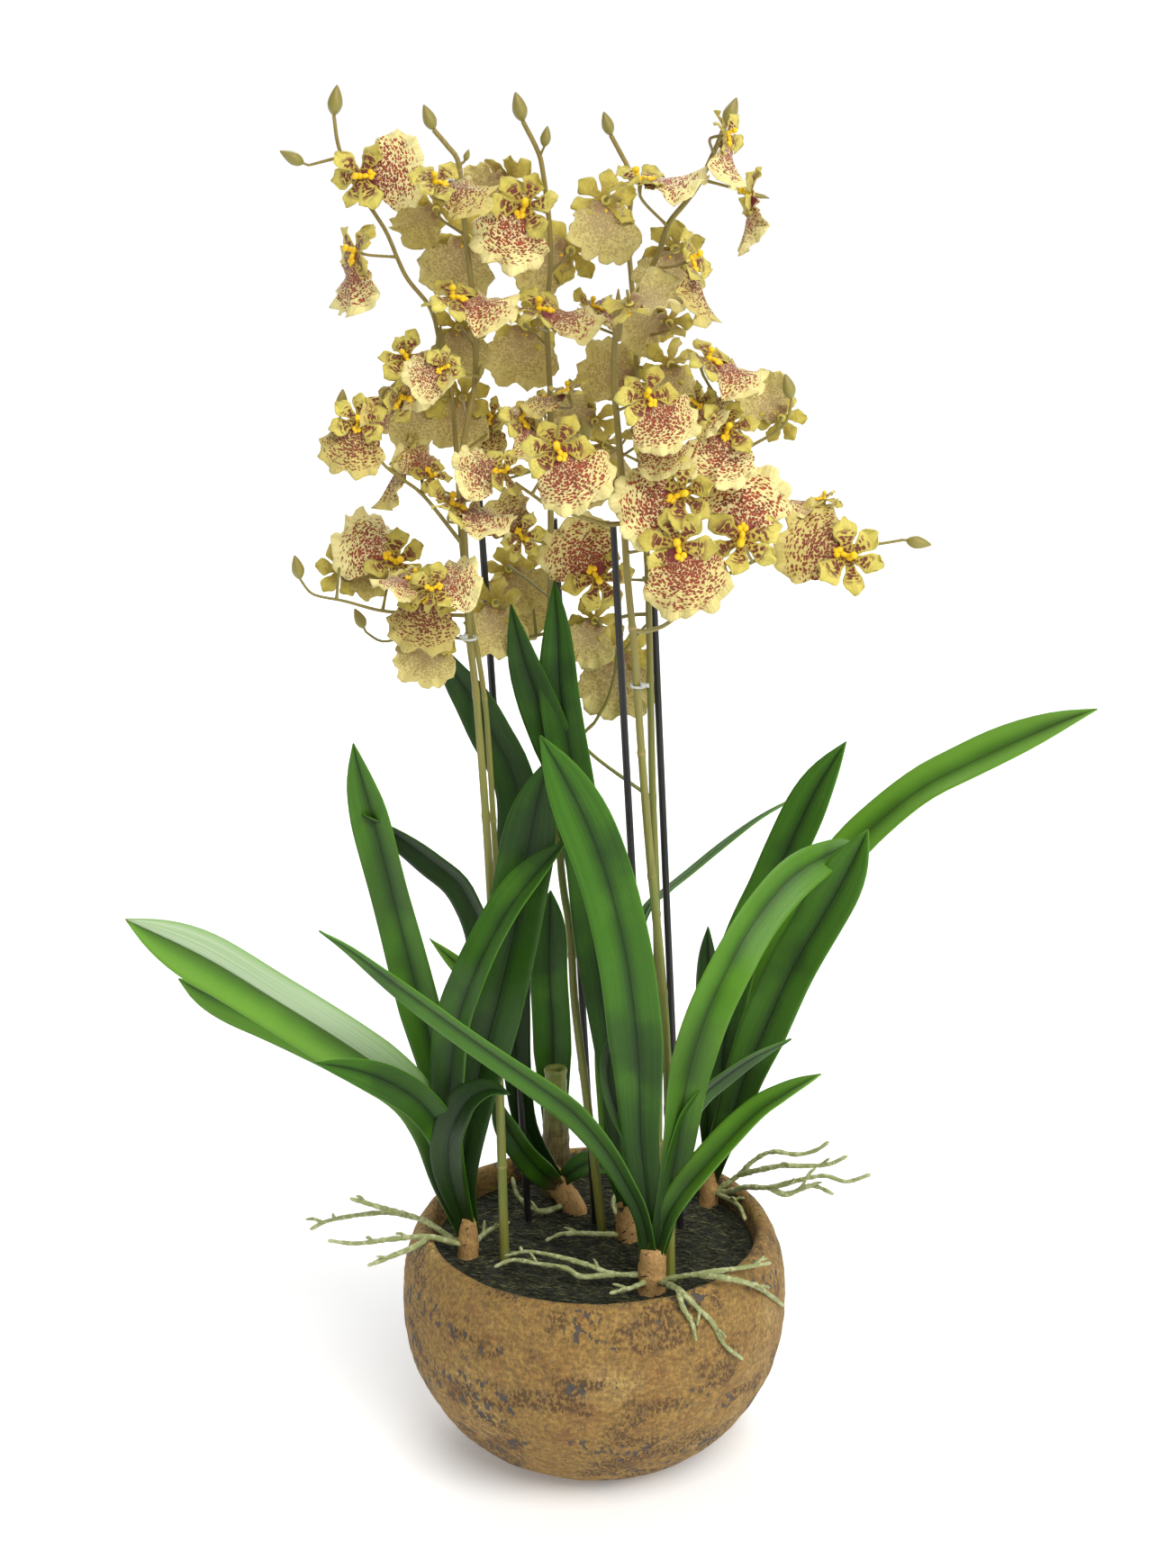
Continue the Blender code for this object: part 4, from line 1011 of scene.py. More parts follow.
def stump_finish(colours):
    """Ribbed trunk, green above and brown below, with a dark mouth."""
    paint = Paint("stump_bark", 0.5)
    along = paint.axes()[1]
    lines = paint.streaks(Fineness=(26.0, 8.0, 1.0), Detail=4.0)
    rings = paint.streaks(Fineness=(2.0, 160.0, 1.0))
    paint.body = paint.blend(paint.spread(along, 0.45, 0.85), colours.sheath_dark, colours.stem_green)
    paint.cover(lines["Mask"], colours.stem, 0.55)
    paint.cover(rings["Mask"], colours.root_dark, 0.4)
    hole = paint.spread(paint.value("tone"), 0.6, 1.0)
    paint.cover(hole, colours.moss)
    height = paint.plus(lines["Height"], rings["Height"])
    return paint.done(height, 0.0006)


def stick_finish(colours):
    """Black plastic with faint lengthwise lines."""
    paint = Paint("stick_black", 0.38)
    lines = paint.streaks(Vector=paint.place, Fineness=(900.0, 900.0, 8.0))
    paint.body = paint.blend(lines["Mask"], colours.stick, srgb("24221f"))
    return paint.done(lines["Height"], 0.0002)


def tie_finish(colours):
    """Clear pale plastic."""
    paint = Paint("tie_clear", 0.25, Transmission_Weight=0.35, IOR=1.45)
    clouds = paint.blotches(Scale=900.0, Fill=0.4, Softness=0.2)
    paint.body = paint.blend(clouds["Mask"], colours.tie, srgb("d8dadb"))
    return paint.done()


def moss_finish(colours):
    """Dark dyed moss with tufts, lines and pale grit."""
    paint = Paint("dark_moss", 0.95)
    tufts = paint.blotches(Scale=160.0, Fill=0.5, Softness=0.2)
    lines = paint.streaks(Vector=paint.place, Fineness=(25.0, 420.0, 40.0), Detail=4.0)
    grit = paint.blotches(Scale=900.0, Fill=0.25, Softness=0.1)
    paint.body = paint.blend(tufts["Mask"], colours.moss, colours.moss_green)
    paint.cover(lines["Mask"], colours.moss, 0.6)
    paint.cover(grit["Mask"], colours.moss_pale, 0.5)
    height = paint.plus(tufts["Height"], lines["Height"])
    return paint.done(height, 0.002)


def fibre_finish(colours):
    """Loose moss fibres, a few of them pale."""
    paint = Paint("moss_fibre", 0.9)
    tufts = paint.blotches(Scale=220.0, Fill=0.5, Softness=0.2)
    paint.body = paint.blend(tufts["Mask"], colours.moss, colours.moss_green)
    pale = paint.spread(paint.value("tone"), 0.82, 1.0)
    paint.cover(pale, colours.moss_pale, 0.6)
    return paint.done()


def earthenware_finish(colours):
    """Unglazed ochre clay, scratched all over, with slate smears, red brown specks and pale patches."""
    paint = Paint("ochre_clay", 0.85)
    scratches = paint.streaks(Vector=paint.place, Fineness=(260.0, 260.0, 380.0), Detail=5.0)
    broad = paint.blotches(Scale=16.0, Fill=0.45, Softness=0.2, Detail=5.0)
    warm = paint.blotches(Scale=55.0, Fill=0.5, Softness=0.2, Detail=6.0)
    upright = paint.put("ShaderNodeVectorMath", {0: paint.place, 1: (1.0, 1.0, 0.6)}, operation="MULTIPLY")
    smears = paint.blotches(Vector=upright[0], Scale=210.0, Fill=0.42, Softness=0.03, Detail=5.0)
    lying = paint.put("ShaderNodeVectorMath", {0: paint.place, 1: (1.0, 1.0, 1.9)}, operation="MULTIPLY")
    where = paint.blotches(Vector=lying[0], Scale=17.0, Fill=0.5, Softness=0.1)
    slate = paint.times(smears["Mask"], paint.spread(where["Mask"], 0.0, 0.8, 0.15))
    specks = paint.blotches(Vector=upright[0], Scale=520.0, Fill=0.55, Softness=0.02)
    crowd = paint.blotches(Vector=lying[0], Scale=24.0, Fill=0.55, Softness=0.12)
    dotted = paint.times(specks["Mask"], paint.spread(crowd["Mask"], 0.0, 1.0, 0.35))
    shade_share = paint.times(crowd["Mask"], 0.32)
    paint.body = paint.blend(broad["Mask"], colours.clay, colours.clay_pale)
    paint.cover(warm["Mask"], colours.clay_red, 0.45)
    paint.cover(scratches["Mask"], colours.clay_dark, 0.5)
    paint.cover(paint.math("MAXIMUM", shade_share, dotted), colours.clay_dark)
    paint.cover(slate, colours.slate, 0.9)
    low = paint.times(slate, -0.5)
    height = paint.plus(paint.plus(scratches["Height"], warm["Height"]), low)
    return paint.done(height, 0.0022)


def floor_finish():
    """A white floor that glows a little, so that its far parts stay white."""
    paint = Paint("studio_floor", 0.9)
    cloud = paint.blotches(Scale=3.0, Fill=0.5, Softness=0.4)
    paint.body = paint.blend(cloud["Mask"], srgb("f7f7f7"), srgb("fbfbfb"))
    paint.shader.inputs["Emission Color"].default_value = (1.0, 1.0, 1.0, 1.0)
    paint.shader.inputs["Emission Strength"].default_value = FLOOR_GLOW
    return paint.done()


def new_tree(name, inputs):
    """An empty Geometry Nodes tree with a geometry in and out and these inputs: (name, kind, default)."""
    tree = bpy.data.node_groups.new(name, "GeometryNodeTree")
    tree.interface.new_socket("Geometry", in_out="INPUT", socket_type="NodeSocketGeometry")
    for label, kind, default in inputs:
        socket = tree.interface.new_socket(label, in_out="INPUT", socket_type=kind)
        if default is not None:
            socket.default_value = default
    tree.interface.new_socket("Geometry", in_out="OUTPUT", socket_type="NodeSocketGeometry")
    return tree, tree.nodes.new("NodeGroupInput").outputs, tree.nodes.new("NodeGroupOutput").inputs


def close_tree(tree, given, made, geometry):
    """Ends a tree with real geometry that holds its finish."""
    real = put(tree, "GeometryNodeRealizeInstances", {"Geometry": geometry})
    smooth = put(tree, "GeometryNodeSetShadeSmooth", {"Geometry": real[0]})
    painted = put(tree, "GeometryNodeSetMaterial", {"Geometry": smooth[0],
                                                    "Material": given["Finish"]})
    tree.links.new(painted[0], made["Geometry"])


def named(tree, label, kind):
    """A value that the points bring along, by its name."""
    return put(tree, "GeometryNodeInputNamedAttribute", {"Name": label}, data_type=kind)["Attribute"]


def flowers_tree():
    """Sets one of the given shapes on each point, turned and sized by the point's own values."""
    tree, given, made = new_tree("flowers_on_points", [("Shapes", "NodeSocketCollection", None),
                                                       ("Size", "NodeSocketFloat", 1.0),
                                                       ("Finish", "NodeSocketMaterial", None)])
    shapes = put(tree, "GeometryNodeCollectionInfo", {"Collection": given["Shapes"],
                                                      "Separate Children": True, "Reset Children": True})
    turned = put(tree, "FunctionNodeEulerToRotation", {0: named(tree, "turn", "FLOAT_VECTOR")})
    size = put(tree, "ShaderNodeVectorMath", {0: named(tree, "stretch", "FLOAT_VECTOR"),
                                              3: given["Size"]}, operation="SCALE")
    placed = put(tree, "GeometryNodeInstanceOnPoints", {
        "Points": given["Geometry"], "Instance": shapes[0], "Pick Instance": True,
        "Instance Index": named(tree, "kind", "INT"), "Rotation": turned[0], "Scale": size[0]})
    close_tree(tree, given, made, placed[0])
    return tree


def rods_tree():
    """Turns each line into a round closed rod, as thick as its points say."""
    tree, given, made = new_tree("rods_on_lines", [("Sides", "NodeSocketInt", 10),
                                                   ("Girth", "NodeSocketFloat", 1.0),
                                                   ("Finish", "NodeSocketMaterial", None)])
    lines = put(tree, "GeometryNodeMeshToCurve", {"Mesh": given["Geometry"]})
    ring = put(tree, "GeometryNodeCurvePrimitiveCircle", {"Resolution": given["Sides"], "Radius": 1.0})
    thick = put(tree, "ShaderNodeMath", {0: named(tree, "radius_here", "FLOAT"), 1: given["Girth"]},
                operation="MULTIPLY")
    rod = put(tree, "GeometryNodeCurveToMesh", {"Curve": lines[0], "Profile Curve": ring[0],
                                                "Scale": thick[0], "Fill Caps": True})
    close_tree(tree, given, made, rod[0])
    return tree


def fibres_tree():
    """Scatters short bent fibres over a surface, lying mostly along one way."""
    tree, given, made = new_tree("fibres_on_moss", [("Shapes", "NodeSocketCollection", None),
                                                    ("Density", "NodeSocketFloat", 150000.0),
                                                    ("Smallest", "NodeSocketFloat", 0.5),
                                                    ("Largest", "NodeSocketFloat", 1.5),
                                                    ("Seed", "NodeSocketInt", 4),
                                                    ("Finish", "NodeSocketMaterial", None)])
    spots = put(tree, "GeometryNodeDistributePointsOnFaces", {
        "Mesh": given["Geometry"], "Density": given["Density"], "Seed": given["Seed"]})
    shapes = put(tree, "GeometryNodeCollectionInfo", {"Collection": given["Shapes"],
                                                      "Separate Children": True, "Reset Children": True})
    turn = put(tree, "FunctionNodeRandomValue", {0: (-0.5, -0.35, -0.7), 1: (0.5, 0.35, 0.7),
                                                 "Seed": given["Seed"]}, data_type="FLOAT_VECTOR")
    size = put(tree, "FunctionNodeRandomValue", {2: given["Smallest"], 3: given["Largest"],
                                                 "Seed": given["Seed"]}, data_type="FLOAT")
    kind = put(tree, "FunctionNodeRandomValue", {4: 0, 5: 3, "Seed": given["Seed"]}, data_type="INT")
    placed = put(tree, "GeometryNodeInstanceOnPoints", {
        "Points": spots[0], "Instance": shapes[0], "Pick Instance": True,
        "Instance Index": kind[2], "Rotation": turn[0], "Scale": size[1]})
    close_tree(tree, given, made, placed[0])
    return tree


def grown(name, tree, base, inputs):
    """Runs a tree on a mesh and returns its result as a plain mesh object, without the modifier."""
    source = bpy.data.objects.new(name + "_base", base)
    bpy.context.scene.collection.objects.link(source)
    modifier = source.modifiers.new("growth", "NODES")
    modifier.node_group = tree
    sockets = {item.name: item.identifier for item in tree.interface.items_tree if item.in_out == "INPUT"}
    for label, value in inputs.items():
        modifier[sockets[label]] = value
    graph = bpy.context.evaluated_depsgraph_get()
    made = bpy.data.objects.new(name, bpy.data.meshes.new_from_object(source.evaluated_get(graph)))
    made.data.name = name
    bpy.data.objects.remove(source)
    bpy.context.scene.collection.objects.link(made)
    return made


def line_mesh(name, lines):
    """Lines as a mesh of points and edges, each line given as its places in mm, radii in mm and tone."""
    points = []
    edges = []
    radii = []
    tones = []
    for path, path_radii, path_tones in lines:
        first = len(points)
        points += [place * MM for place in path]
        radii += [radius * MM for radius in path_radii]
        tones += path_tones if isinstance(path_tones, list) else [path_tones] * len(path)
        edges += [(first + step, first + step + 1) for step in range(len(path) - 1)]
    made = bpy.data.meshes.new(name)
    made.from_pydata(points, edges, [])
    for label, values in (("radius_here", radii), ("tone", tones)):
        made.attributes.new(label, "FLOAT", "POINT").data.foreach_set("value", values)
    return made


def point_mesh(name, rows):
    """Points for shapes: each row is place in mm, turn matrix, stretch, kind and tone."""
    made = bpy.data.meshes.new(name)
    made.from_pydata([row[0] * MM for row in rows], [], [])
    turns = []
    stretches = []
    for row in rows:
        turns += list(row[1].to_euler())
        stretches += list(row[2])
    made.attributes.new("turn", "FLOAT_VECTOR", "POINT").data.foreach_set("vector", turns)
    made.attributes.new("stretch", "FLOAT_VECTOR", "POINT").data.foreach_set("vector", stretches)
    made.attributes.new("kind", "INT", "POINT").data.foreach_set("value", [row[3] for row in rows])
    made.attributes.new("tone", "FLOAT", "POINT").data.foreach_set("value", [row[4] for row in rows])
    return made


def bloom_frame(x, z, depth, angle, lean, roll):
    """The bloom's middle, its lip direction, its across direction and the way it faces."""
    middle = sight(x, z, depth)
    view = (EYE - middle).normalized()
    right = Vector((1, 0, 0))
    up = view.cross(right)
    turn = math.radians(angle)
    tilt = math.radians(lean)
    lip = (right * math.cos(turn) + up * math.sin(turn)) * math.cos(tilt) + view * math.sin(tilt)
    facing = (view - lip * view.dot(lip)).normalized()
    side = lip.cross(facing)
    spin = math.radians(roll)
    normal = facing * math.cos(spin) + side * math.sin(spin)
    return middle, lip, lip.cross(normal), normal


def axes_matrix(x_axis, y_axis, z_axis):
    """The turn that lays X, Y and Z along these three ways."""
    return Matrix((x_axis, y_axis, z_axis)).transposed()


def hidden_shapes(name, meshes):
    """A collection of source shapes, kept out of the scene, for a tree to pick from."""
    held = bpy.data.collections.new(name)
    for number, mesh in enumerate(meshes):
        held.objects.link(bpy.data.objects.new(f"{name}_{number}", mesh))
    return held


def drop_shapes(held):
    """Removes the source shapes once the trees have used them."""
    for shape in list(held.objects):
        bpy.data.objects.remove(shape)
    bpy.data.collections.remove(held)


def turned(surface, outline, sides, middle=Vector((0, 0, 0)), wobble=None, tone_of=None):
    """Adds a closed body turned about an upright axis from (radius, height) places, foot first."""
    rings = []
    for row, (radius, height) in enumerate(outline):
        ring = []
        for side in range(sides):
            turn = 2 * math.pi * side / sides
            way = Vector((math.cos(turn), math.sin(turn), 0))
            reach, lift = wobble(radius, height, way, row) if wobble else (radius, height)
            tone = tone_of(row) if tone_of else 0.5
            place = middle + way * reach + Vector((0, 0, lift))
            ring.append(surface.add(place, (side / sides, height / 100), 0.0, tone))
        rings.append(ring)
    surface.close(rings)


def fine_outline(places, count):
    """count places at even steps along a smooth outline."""
    path = smooth_path([Vector((radius, 0, height)) for radius, height in places], count)
    return [(place.x, place.z) for place in path]


def bowl_wobble(radius, height, way, row):
    """Hand made unevenness: a lower wall of soft flats, and small dents all over the outside."""
    place = Vector((way.x * radius, way.y * radius, height))
    outside = row <= BOWL_OUTSIDE_ROWS
    low = max(0.0, 1 - height / 80) if outside else 0.0
    dents = 1.6 * noise.noise(place / 28) * low
    dents = dents + 0.5 * noise.noise(place / 8) + 0.3 * noise.noise(place / 2.6)
    if height < 1.5:
        return radius + 0.5 * noise.noise(place / 20), height
    lift = 0.7 * noise.noise(place / 14 + Vector((9, 0, 0))) if height > 140 else 0.0
    return radius - 0.6 + dents * (1 if outside else 0.6), height - 0.5 + lift


def build_bowl(sizes, finish):
    """The bowl, turned from its outline with a hand made wobble."""
    surface = Surface()
    outline = [(30, 0.0)] + fine_outline(BOWL_OUTSIDE, BOWL_OUTSIDE_ROWS)
    outline += fine_outline([BOWL_OUTSIDE[-1]] + BOWL_RIM, 10)[1:]
    outline += fine_outline([BOWL_RIM[-1]] + BOWL_INSIDE, 24)[1:]
    turned(surface, outline, sizes.bowl_sides, wobble=bowl_wobble)
    return surface.object("bowl", finish)


def moss_height(x, y):
    """Height of the moss at a place: low mounds, with shallow ridges that run across the front."""
    spot = Vector((x, y, 0))
    ridges = 0.5 * math.sin(y / 1.9 + 2 * noise.noise(spot / 30)) * (1 if y < 0 else 0.3)
    return SOIL_TOP + 2.4 * noise.noise(spot / 33) + 1.0 * noise.noise(spot / 9) + ridges - 0.6


def moss_ring(surface, reach, sides, height=None):
    """A ring of points on the moss, or at a height of their own."""
    ring = []
    for side in range(sides):
        turn = 2 * math.pi * side / sides
        x = reach * math.cos(turn)
        y = reach * math.sin(turn)
        ring.append(surface.add((x, y, moss_height(x, y) if height is None else height)))
    return ring


def build_moss(finish):
    """The moss: a mounded top on a plain block that fits the bowl."""
    surface = Surface()
    middle = surface.add((0, 0, moss_height(0, 0)))
    rows = [moss_ring(surface, MOSS_EDGE * ring / MOSS_RINGS, MOSS_SIDES)
            for ring in range(1, MOSS_RINGS + 1)]
    for side in range(MOSS_SIDES):
        surface.faces.append((middle, rows[0][side], rows[0][(side + 1) % MOSS_SIDES]))
    rows.append(moss_ring(surface, MOSS_EDGE, MOSS_SIDES, SOIL_TOP - 14))
    rows.append(moss_ring(surface, 92, MOSS_SIDES, SOIL_TOP - 60))
    surface.skin(rows, False)
    surface.faces.append(tuple(reversed(rows[-1])))
    return surface.object("moss", finish)


def fibre_meshes(finish):
    """Three thin bent fibres that lie along X."""
    made = []
    for kind in range(3):
        surface = Surface()
        bend = (kind - 1) * 0.8
        path = [Vector((step * 1.6 - 3.2, bend * math.sin(step * 0.8), 0.5 + 0.4 * math.sin(step + kind)))
                for step in range(5)]
        add_rod(surface, path, [0.12, 0.28, 0.3, 0.26, 0.1], 3, tone=0.35 + 0.3 * kind)
        made.append(surface.mesh(f"fibre_{kind}", finish))
    return made


def build_fibres(sizes, trees, finish):
    """Loose fibres on the moss, scattered over its upper side."""
    ground = Surface()
    ground.skin([moss_ring(ground, 1 + 97 * ring / 12, 60) for ring in range(13)], False)
    shapes = hidden_shapes("fibre_shapes", fibre_meshes(finish))
    made = grown("moss_fibres", trees["fibres"], ground.mesh("moss_ground", finish),
                 {"Shapes": shapes, "Density": sizes.fibre_density, "Seed": 4, "Finish": finish})
    drop_shapes(shapes)
    return made


def leaf_width(along, blunt):
    """Share of the full width, from the narrow foot to the tip, which narrows from the share blunt on."""
    foot = 0.42 + 0.58 * min(along / 0.45, 1.0) ** 1.2
    tip = 1.0 if along < blunt else 1 - ((along - blunt) / (1 - blunt)) ** 2.4
    return max(foot * tip, 0.03)


def add_leaf(surface, start, row, seed, tone):
    """A strap leaf with a grooved midrib, slightly waved edges and a blunt tip."""
    width, twist, fold, depths, places = row
    points = [start]
    for number, (x, z) in enumerate(places):
        points.append(sight(x, z, depth_along(depths, (number + 1) / len(places))))
    path = smooth_path(points, LEAF_ROWS)
    grid = []
    for station, (place, way) in enumerate(zip(path, tangents(path))):
        along = station / (LEAF_ROWS - 1)
        half = 0.5 * width * leaf_width(along, 0.8 if width > WIDE_LEAF else 0.68)
        view = (EYE - place).normalized()
        flat = way.cross(view).normalized()
        face = flat.cross(way)
        turn = math.radians(twist) * min(1.0, 0.3 + along)
        across = flat * math.cos(turn) + face * math.sin(turn)
        normal = face * math.cos(turn) - flat * math.sin(turn)
        line = []
        for column in range(LEAF_COLUMNS):
            share = 2 * column / (LEAF_COLUMNS - 1) - 1
            rise = half * fold * abs(share) ** 1.25
            phase = along * 16 + seed * 2.3 + (1.7 if share > 0 else 0)
            wave = 0.05 * half * math.sin(phase) * share * share
            groove = 0.5 if abs(share) < 0.05 else 0.0
            line.append(place + across * (half * share) + normal * (rise + wave - groove))
        grid.append(line)
    add_sheet(surface, grid, LEAF_THICK,
              lambda r, c: (c / (LEAF_COLUMNS - 1), r / (LEAF_ROWS - 1)), tone, 0.5)


def crown_of(name, plant):
    """Where a crown stands on the moss, how far its top leans, and that top."""
    x, y, _, height = plant["crown"]
    lean_x, lean_y = CROWN_LEAN.get(name, (0, 0))
    return Vector((x, y, SOIL_TOP)), (lean_x, lean_y), Vector((x + lean_x, y + lean_y, SOIL_TOP + height))


def root_line(places, seed, thick):
    """One knobbly root, whose end is paler and blunt."""
    count = max(8, round(path_length(places) / 1.6))
    path = smooth_path(places, count)
    radii = []
    tones = []
    for station, place in enumerate(path):
        along = station / (count - 1)
        knob = 1 + 0.32 * noise.noise(place / 3.1 + Vector((seed, 0, 0))) + 0.16 * noise.noise(place / 1.3)
        radii.append(thick * (1 - 0.42 * along) * knob * (0.55 if station == count - 1 else 1))
        tones.append(0.3 + 0.65 * max(0.0, (along - 0.75) / 0.25))
    return path, radii, tones


def root_lines(name, plant, draw):
    """The plant's roots with small side rootlets, as lines."""
    middle, _, top = crown_of(name, plant)
    carriers = [[middle - Vector((0, 0, 4)), top]]
    lines = []
    for places in plant["roots"]:
        points = [sight(*place) for place in places]
        points[0] = nearest_on(carriers, points[0])
        path = smooth_path(points, len(points) * 3)
        carriers.append(path)
        lines.append(root_line(points, draw.random() * 50, ROOT_THICK))
        for _ in range(2):
            pick = draw.randrange(len(path) // 3, len(path) - 2)
            way = (path[pick + 1] - path[pick]).normalized()
            out = Vector((draw.uniform(-1, 1), draw.uniform(-1, 1), draw.uniform(0.0, 0.8)))
            out = (out - way * out.dot(way) * 0.4 + way * 0.9).normalized()
            reach = draw.uniform(5, 11)
            twig = [path[pick], path[pick] + out * reach * 0.5 + Vector((0, 0, draw.uniform(-1, 2))),
                    path[pick] + out * reach]
            lines.append(root_line(twig, draw.random() * 50, ROOTLET_THICK))
    return lines


def add_wraps(surface, name, plant):
    """The dry sheaths round a crown, wound so that each wrap's edge stands over the next."""
    middle, lean, top = crown_of(name, plant)
    path = smooth_path([middle - Vector((0, 0, 8)), middle, top, top + Vector((*lean, 16)) * 0.5],
                       WRAP_ROWS)
    last = WRAP_ROWS - 1
    radii = [plant["crown"][2] * (1.04 - 0.3 * max(0.0, row / last - 0.65)) for row in range(WRAP_ROWS)]

    def wound(station, side):
        """The wraps' stepped edge, which winds round the crown."""
        step = (station / last * 2.4 + side / WRAP_SIDES) % 1.0
        return 0.94 + 0.1 * step + 0.03 * noise.noise(Vector((side / 3, station / 4, middle.x)))

    add_rod(surface, path, radii, WRAP_SIDES, wobble=wound)


def build_plant(name, plant, trees, finishes):
    """Leaves, wraps and roots of one plant, as three pieces."""
    middle, _, top = crown_of(name, plant)
    start = middle.lerp(top, 0.8)
    leaves = Surface()
    for number, row in enumerate(plant["leaves"]):
        add_leaf(leaves, start, row, number, LEAF_TONES[name][number])
    wraps = Surface()
    add_wraps(wraps, name, plant)
    draw = random.Random(name)
    roots = grown(name + "_roots", trees["rods"], line_mesh(name + "_lines", root_lines(name, plant, draw)),
                  {"Sides": 8, "Finish": finishes["root"]})
    finished(leaves.object(name + "_leaves", finishes["leaf"]), "leaf", name)
    finished(wraps.object(name + "_wraps", finishes["sheath"]), "sheath")
    finished(roots, "root")


def build_stump(finishes):
    """The cut trunk, open at its top, and the leaf behind it."""
    x, y, top, foot_radius, top_radius, hole_radius, hole_depth = STUMP
    outline = [(foot_radius, SOIL_TOP - 6), (foot_radius + 0.3, SOIL_TOP + 2),
               (foot_radius - 0.6, SOIL_TOP + 18), (foot_radius - 1.2, SOIL_TOP + 36),
               (foot_radius - 1.8, SOIL_TOP + 54), (top_radius + 0.4, top - 18),
               (top_radius - 0.1, top - 8), (top_radius + 0.4, top - 2), (top_radius - 0.2, top)]
    inside = [(hole_radius + 1.2, top - 0.2), (hole_radius + 0.2, top - 2), (hole_radius, top - hole_depth)]
    rows = fine_outline(outline, 60) + inside

    def ribbed(radius, height, way, row):
        """Soft ribs and fine rings round the trunk."""
        turn = math.atan2(way.y, way.x)
        rib = 0.22 * math.sin(turn * 11) + 0.35 * noise.noise(Vector((way.x * 4, way.y * 4, height / 30)))
        ring = 0.25 * math.sin(height / 1.6) if row < 60 else 0.0
        return radius + rib + ring, height

    trunk = Surface()
    turned(trunk, rows, 48, Vector((x, y, 0)), ribbed, lambda row: 1.0 if row > 61 else 0.3)
    trunk.map_height(SOIL_TOP, top - SOIL_TOP)
    finished(trunk.object("stump_trunk", finishes["stump"]), "leaf", "stump")
    leaf = Surface()
    add_leaf(leaf, Vector((x, y + 9, SOIL_TOP + 4)), STUMP_LEAF, 3, 0.35)
    finished(leaf.object("stump_leaf", finishes["leaf"]), "leaf")


def build_stick(name, foot, top, trees, finish):
    """A thin stick from its foot in the moss to its top."""
    path = smooth_path([Vector((*foot, SOIL_TOP - 8)), sight(*top)], 12)
    radii = [2.2] * 11 + [1.9]
    made = grown(name + "_rod", trees["rods"], line_mesh(name + "_line", [(path, radii, 0.5)]),
                 {"Sides": 14, "Finish": finish})
    return finished(made, "stick", name)


def petal_grid(reach, half, degrees, draw):
    """Places of one waved, spoon-shaped petal that spreads from the bloom's middle at its own tilt."""
    turn = math.radians(degrees + draw.uniform(-7, 7))
    out = Vector((math.sin(turn), math.cos(turn), 0))
    side = Vector((math.cos(turn), -math.sin(turn), 0))
    tilt = math.radians(draw.uniform(-20, 26))
    twist = math.radians(draw.uniform(-45, 45))
    phase = draw.uniform(0, 6.3)
    curl = draw.uniform(-4.5, 2.0)
    cup = draw.uniform(-1.5, 2.4)
    bend = draw.uniform(-2.4, 2.4)
    grid = []
    for row in range(PETAL_ROWS):
        t = row / (PETAL_ROWS - 1)
        breadth = half * between([(0, 0.3), (0.25, 0.42), (0.55, 0.84), (0.78, 1.04), (0.92, 0.84),
                                  (1.0, 0.4)], t)
        line = []
        for column in range(PETAL_COLUMNS):
            c = 2 * column / (PETAL_COLUMNS - 1) - 1
            along = (reach - 1.6) * t - half * 0.45 * c * c * t * t
            wave = 2.1 * t * abs(c) ** 1.5 * math.sin(t * 10 + phase + (1.9 if c > 0 else 0))
            wave += 0.9 * t * t * math.sin(c * 5 + phase * 2)
            height = curl * t * t + cup * c * c * t + wave + breadth * c * math.sin(twist * t)
            frill = 1 + 0.07 * math.sin(t * 17 + phase)
            across = breadth * c * math.cos(twist * t) * frill + bend * t * t
            forward = 1.6 + along * math.cos(tilt) - height * math.sin(tilt)
            rise = Vector((0, 0, 1.0 + along * math.sin(tilt) + height * math.cos(tilt)))
            line.append(out * forward + side * across + rise)
        grid.append(line)
    return grid


def petals_mesh(kind, finish):
    """The three sepals and two petals of one kind of bloom, on a small hub."""
    draw = random.Random(100 + kind)
    surface = Surface()
    for degrees, reach, half in zip(PETAL_ANGLES, PETAL_REACH, PETAL_HALF):
        grid = petal_grid(reach, half, degrees, draw)
        add_sheet(surface, grid, PETAL_THICK, lambda r, c: (c / (PETAL_COLUMNS - 1), r / (PETAL_ROWS - 1)),
                  draw.random(), 0.4)
    hub = Vector((0, 0, 0.2))
    add_knob(surface, hub, (Vector((3.4, 0, 0)), Vector((0, 3.4, 0)), Vector((0, 0, 1.5))), 0.1, kind, 10,
             0.5)
    return surface.mesh(f"petals_{kind}", finish)


def lip_place(angle, share, phases):
    """A place on the lip at an angle from its end and a share of the way to its rim."""
    degrees = abs(math.degrees(angle))
    rim = between(LIP_RIM, degrees)
    frill = math.sin(11 * angle + phases[0] + 0.8 * math.sin(3 * angle + phases[2]))
    ripple = math.sin(25 * angle + phases[1])
    reach = rim * share * (1 + 0.055 * share ** 3 * frill + 0.02 * share ** 4 * ripple)
    u = reach * math.sin(angle)
    w = LIP_CENTRE + reach * math.cos(angle)
    front = max(0.0, math.cos(angle / 2)) ** 0.7
    height = 2.7 * share ** 3 * frill * front + 1.0 * share ** 5 * ripple * front
    height += 2.8 * share ** 2 * math.sin(5 * angle + phases[2]) * front
    height += phases[3] * (u / 22) ** 2 + phases[4] * (w / 37) ** 2 + 1.0 * math.exp(-((u / 4.0) ** 2))
    return Vector((u, w, height))


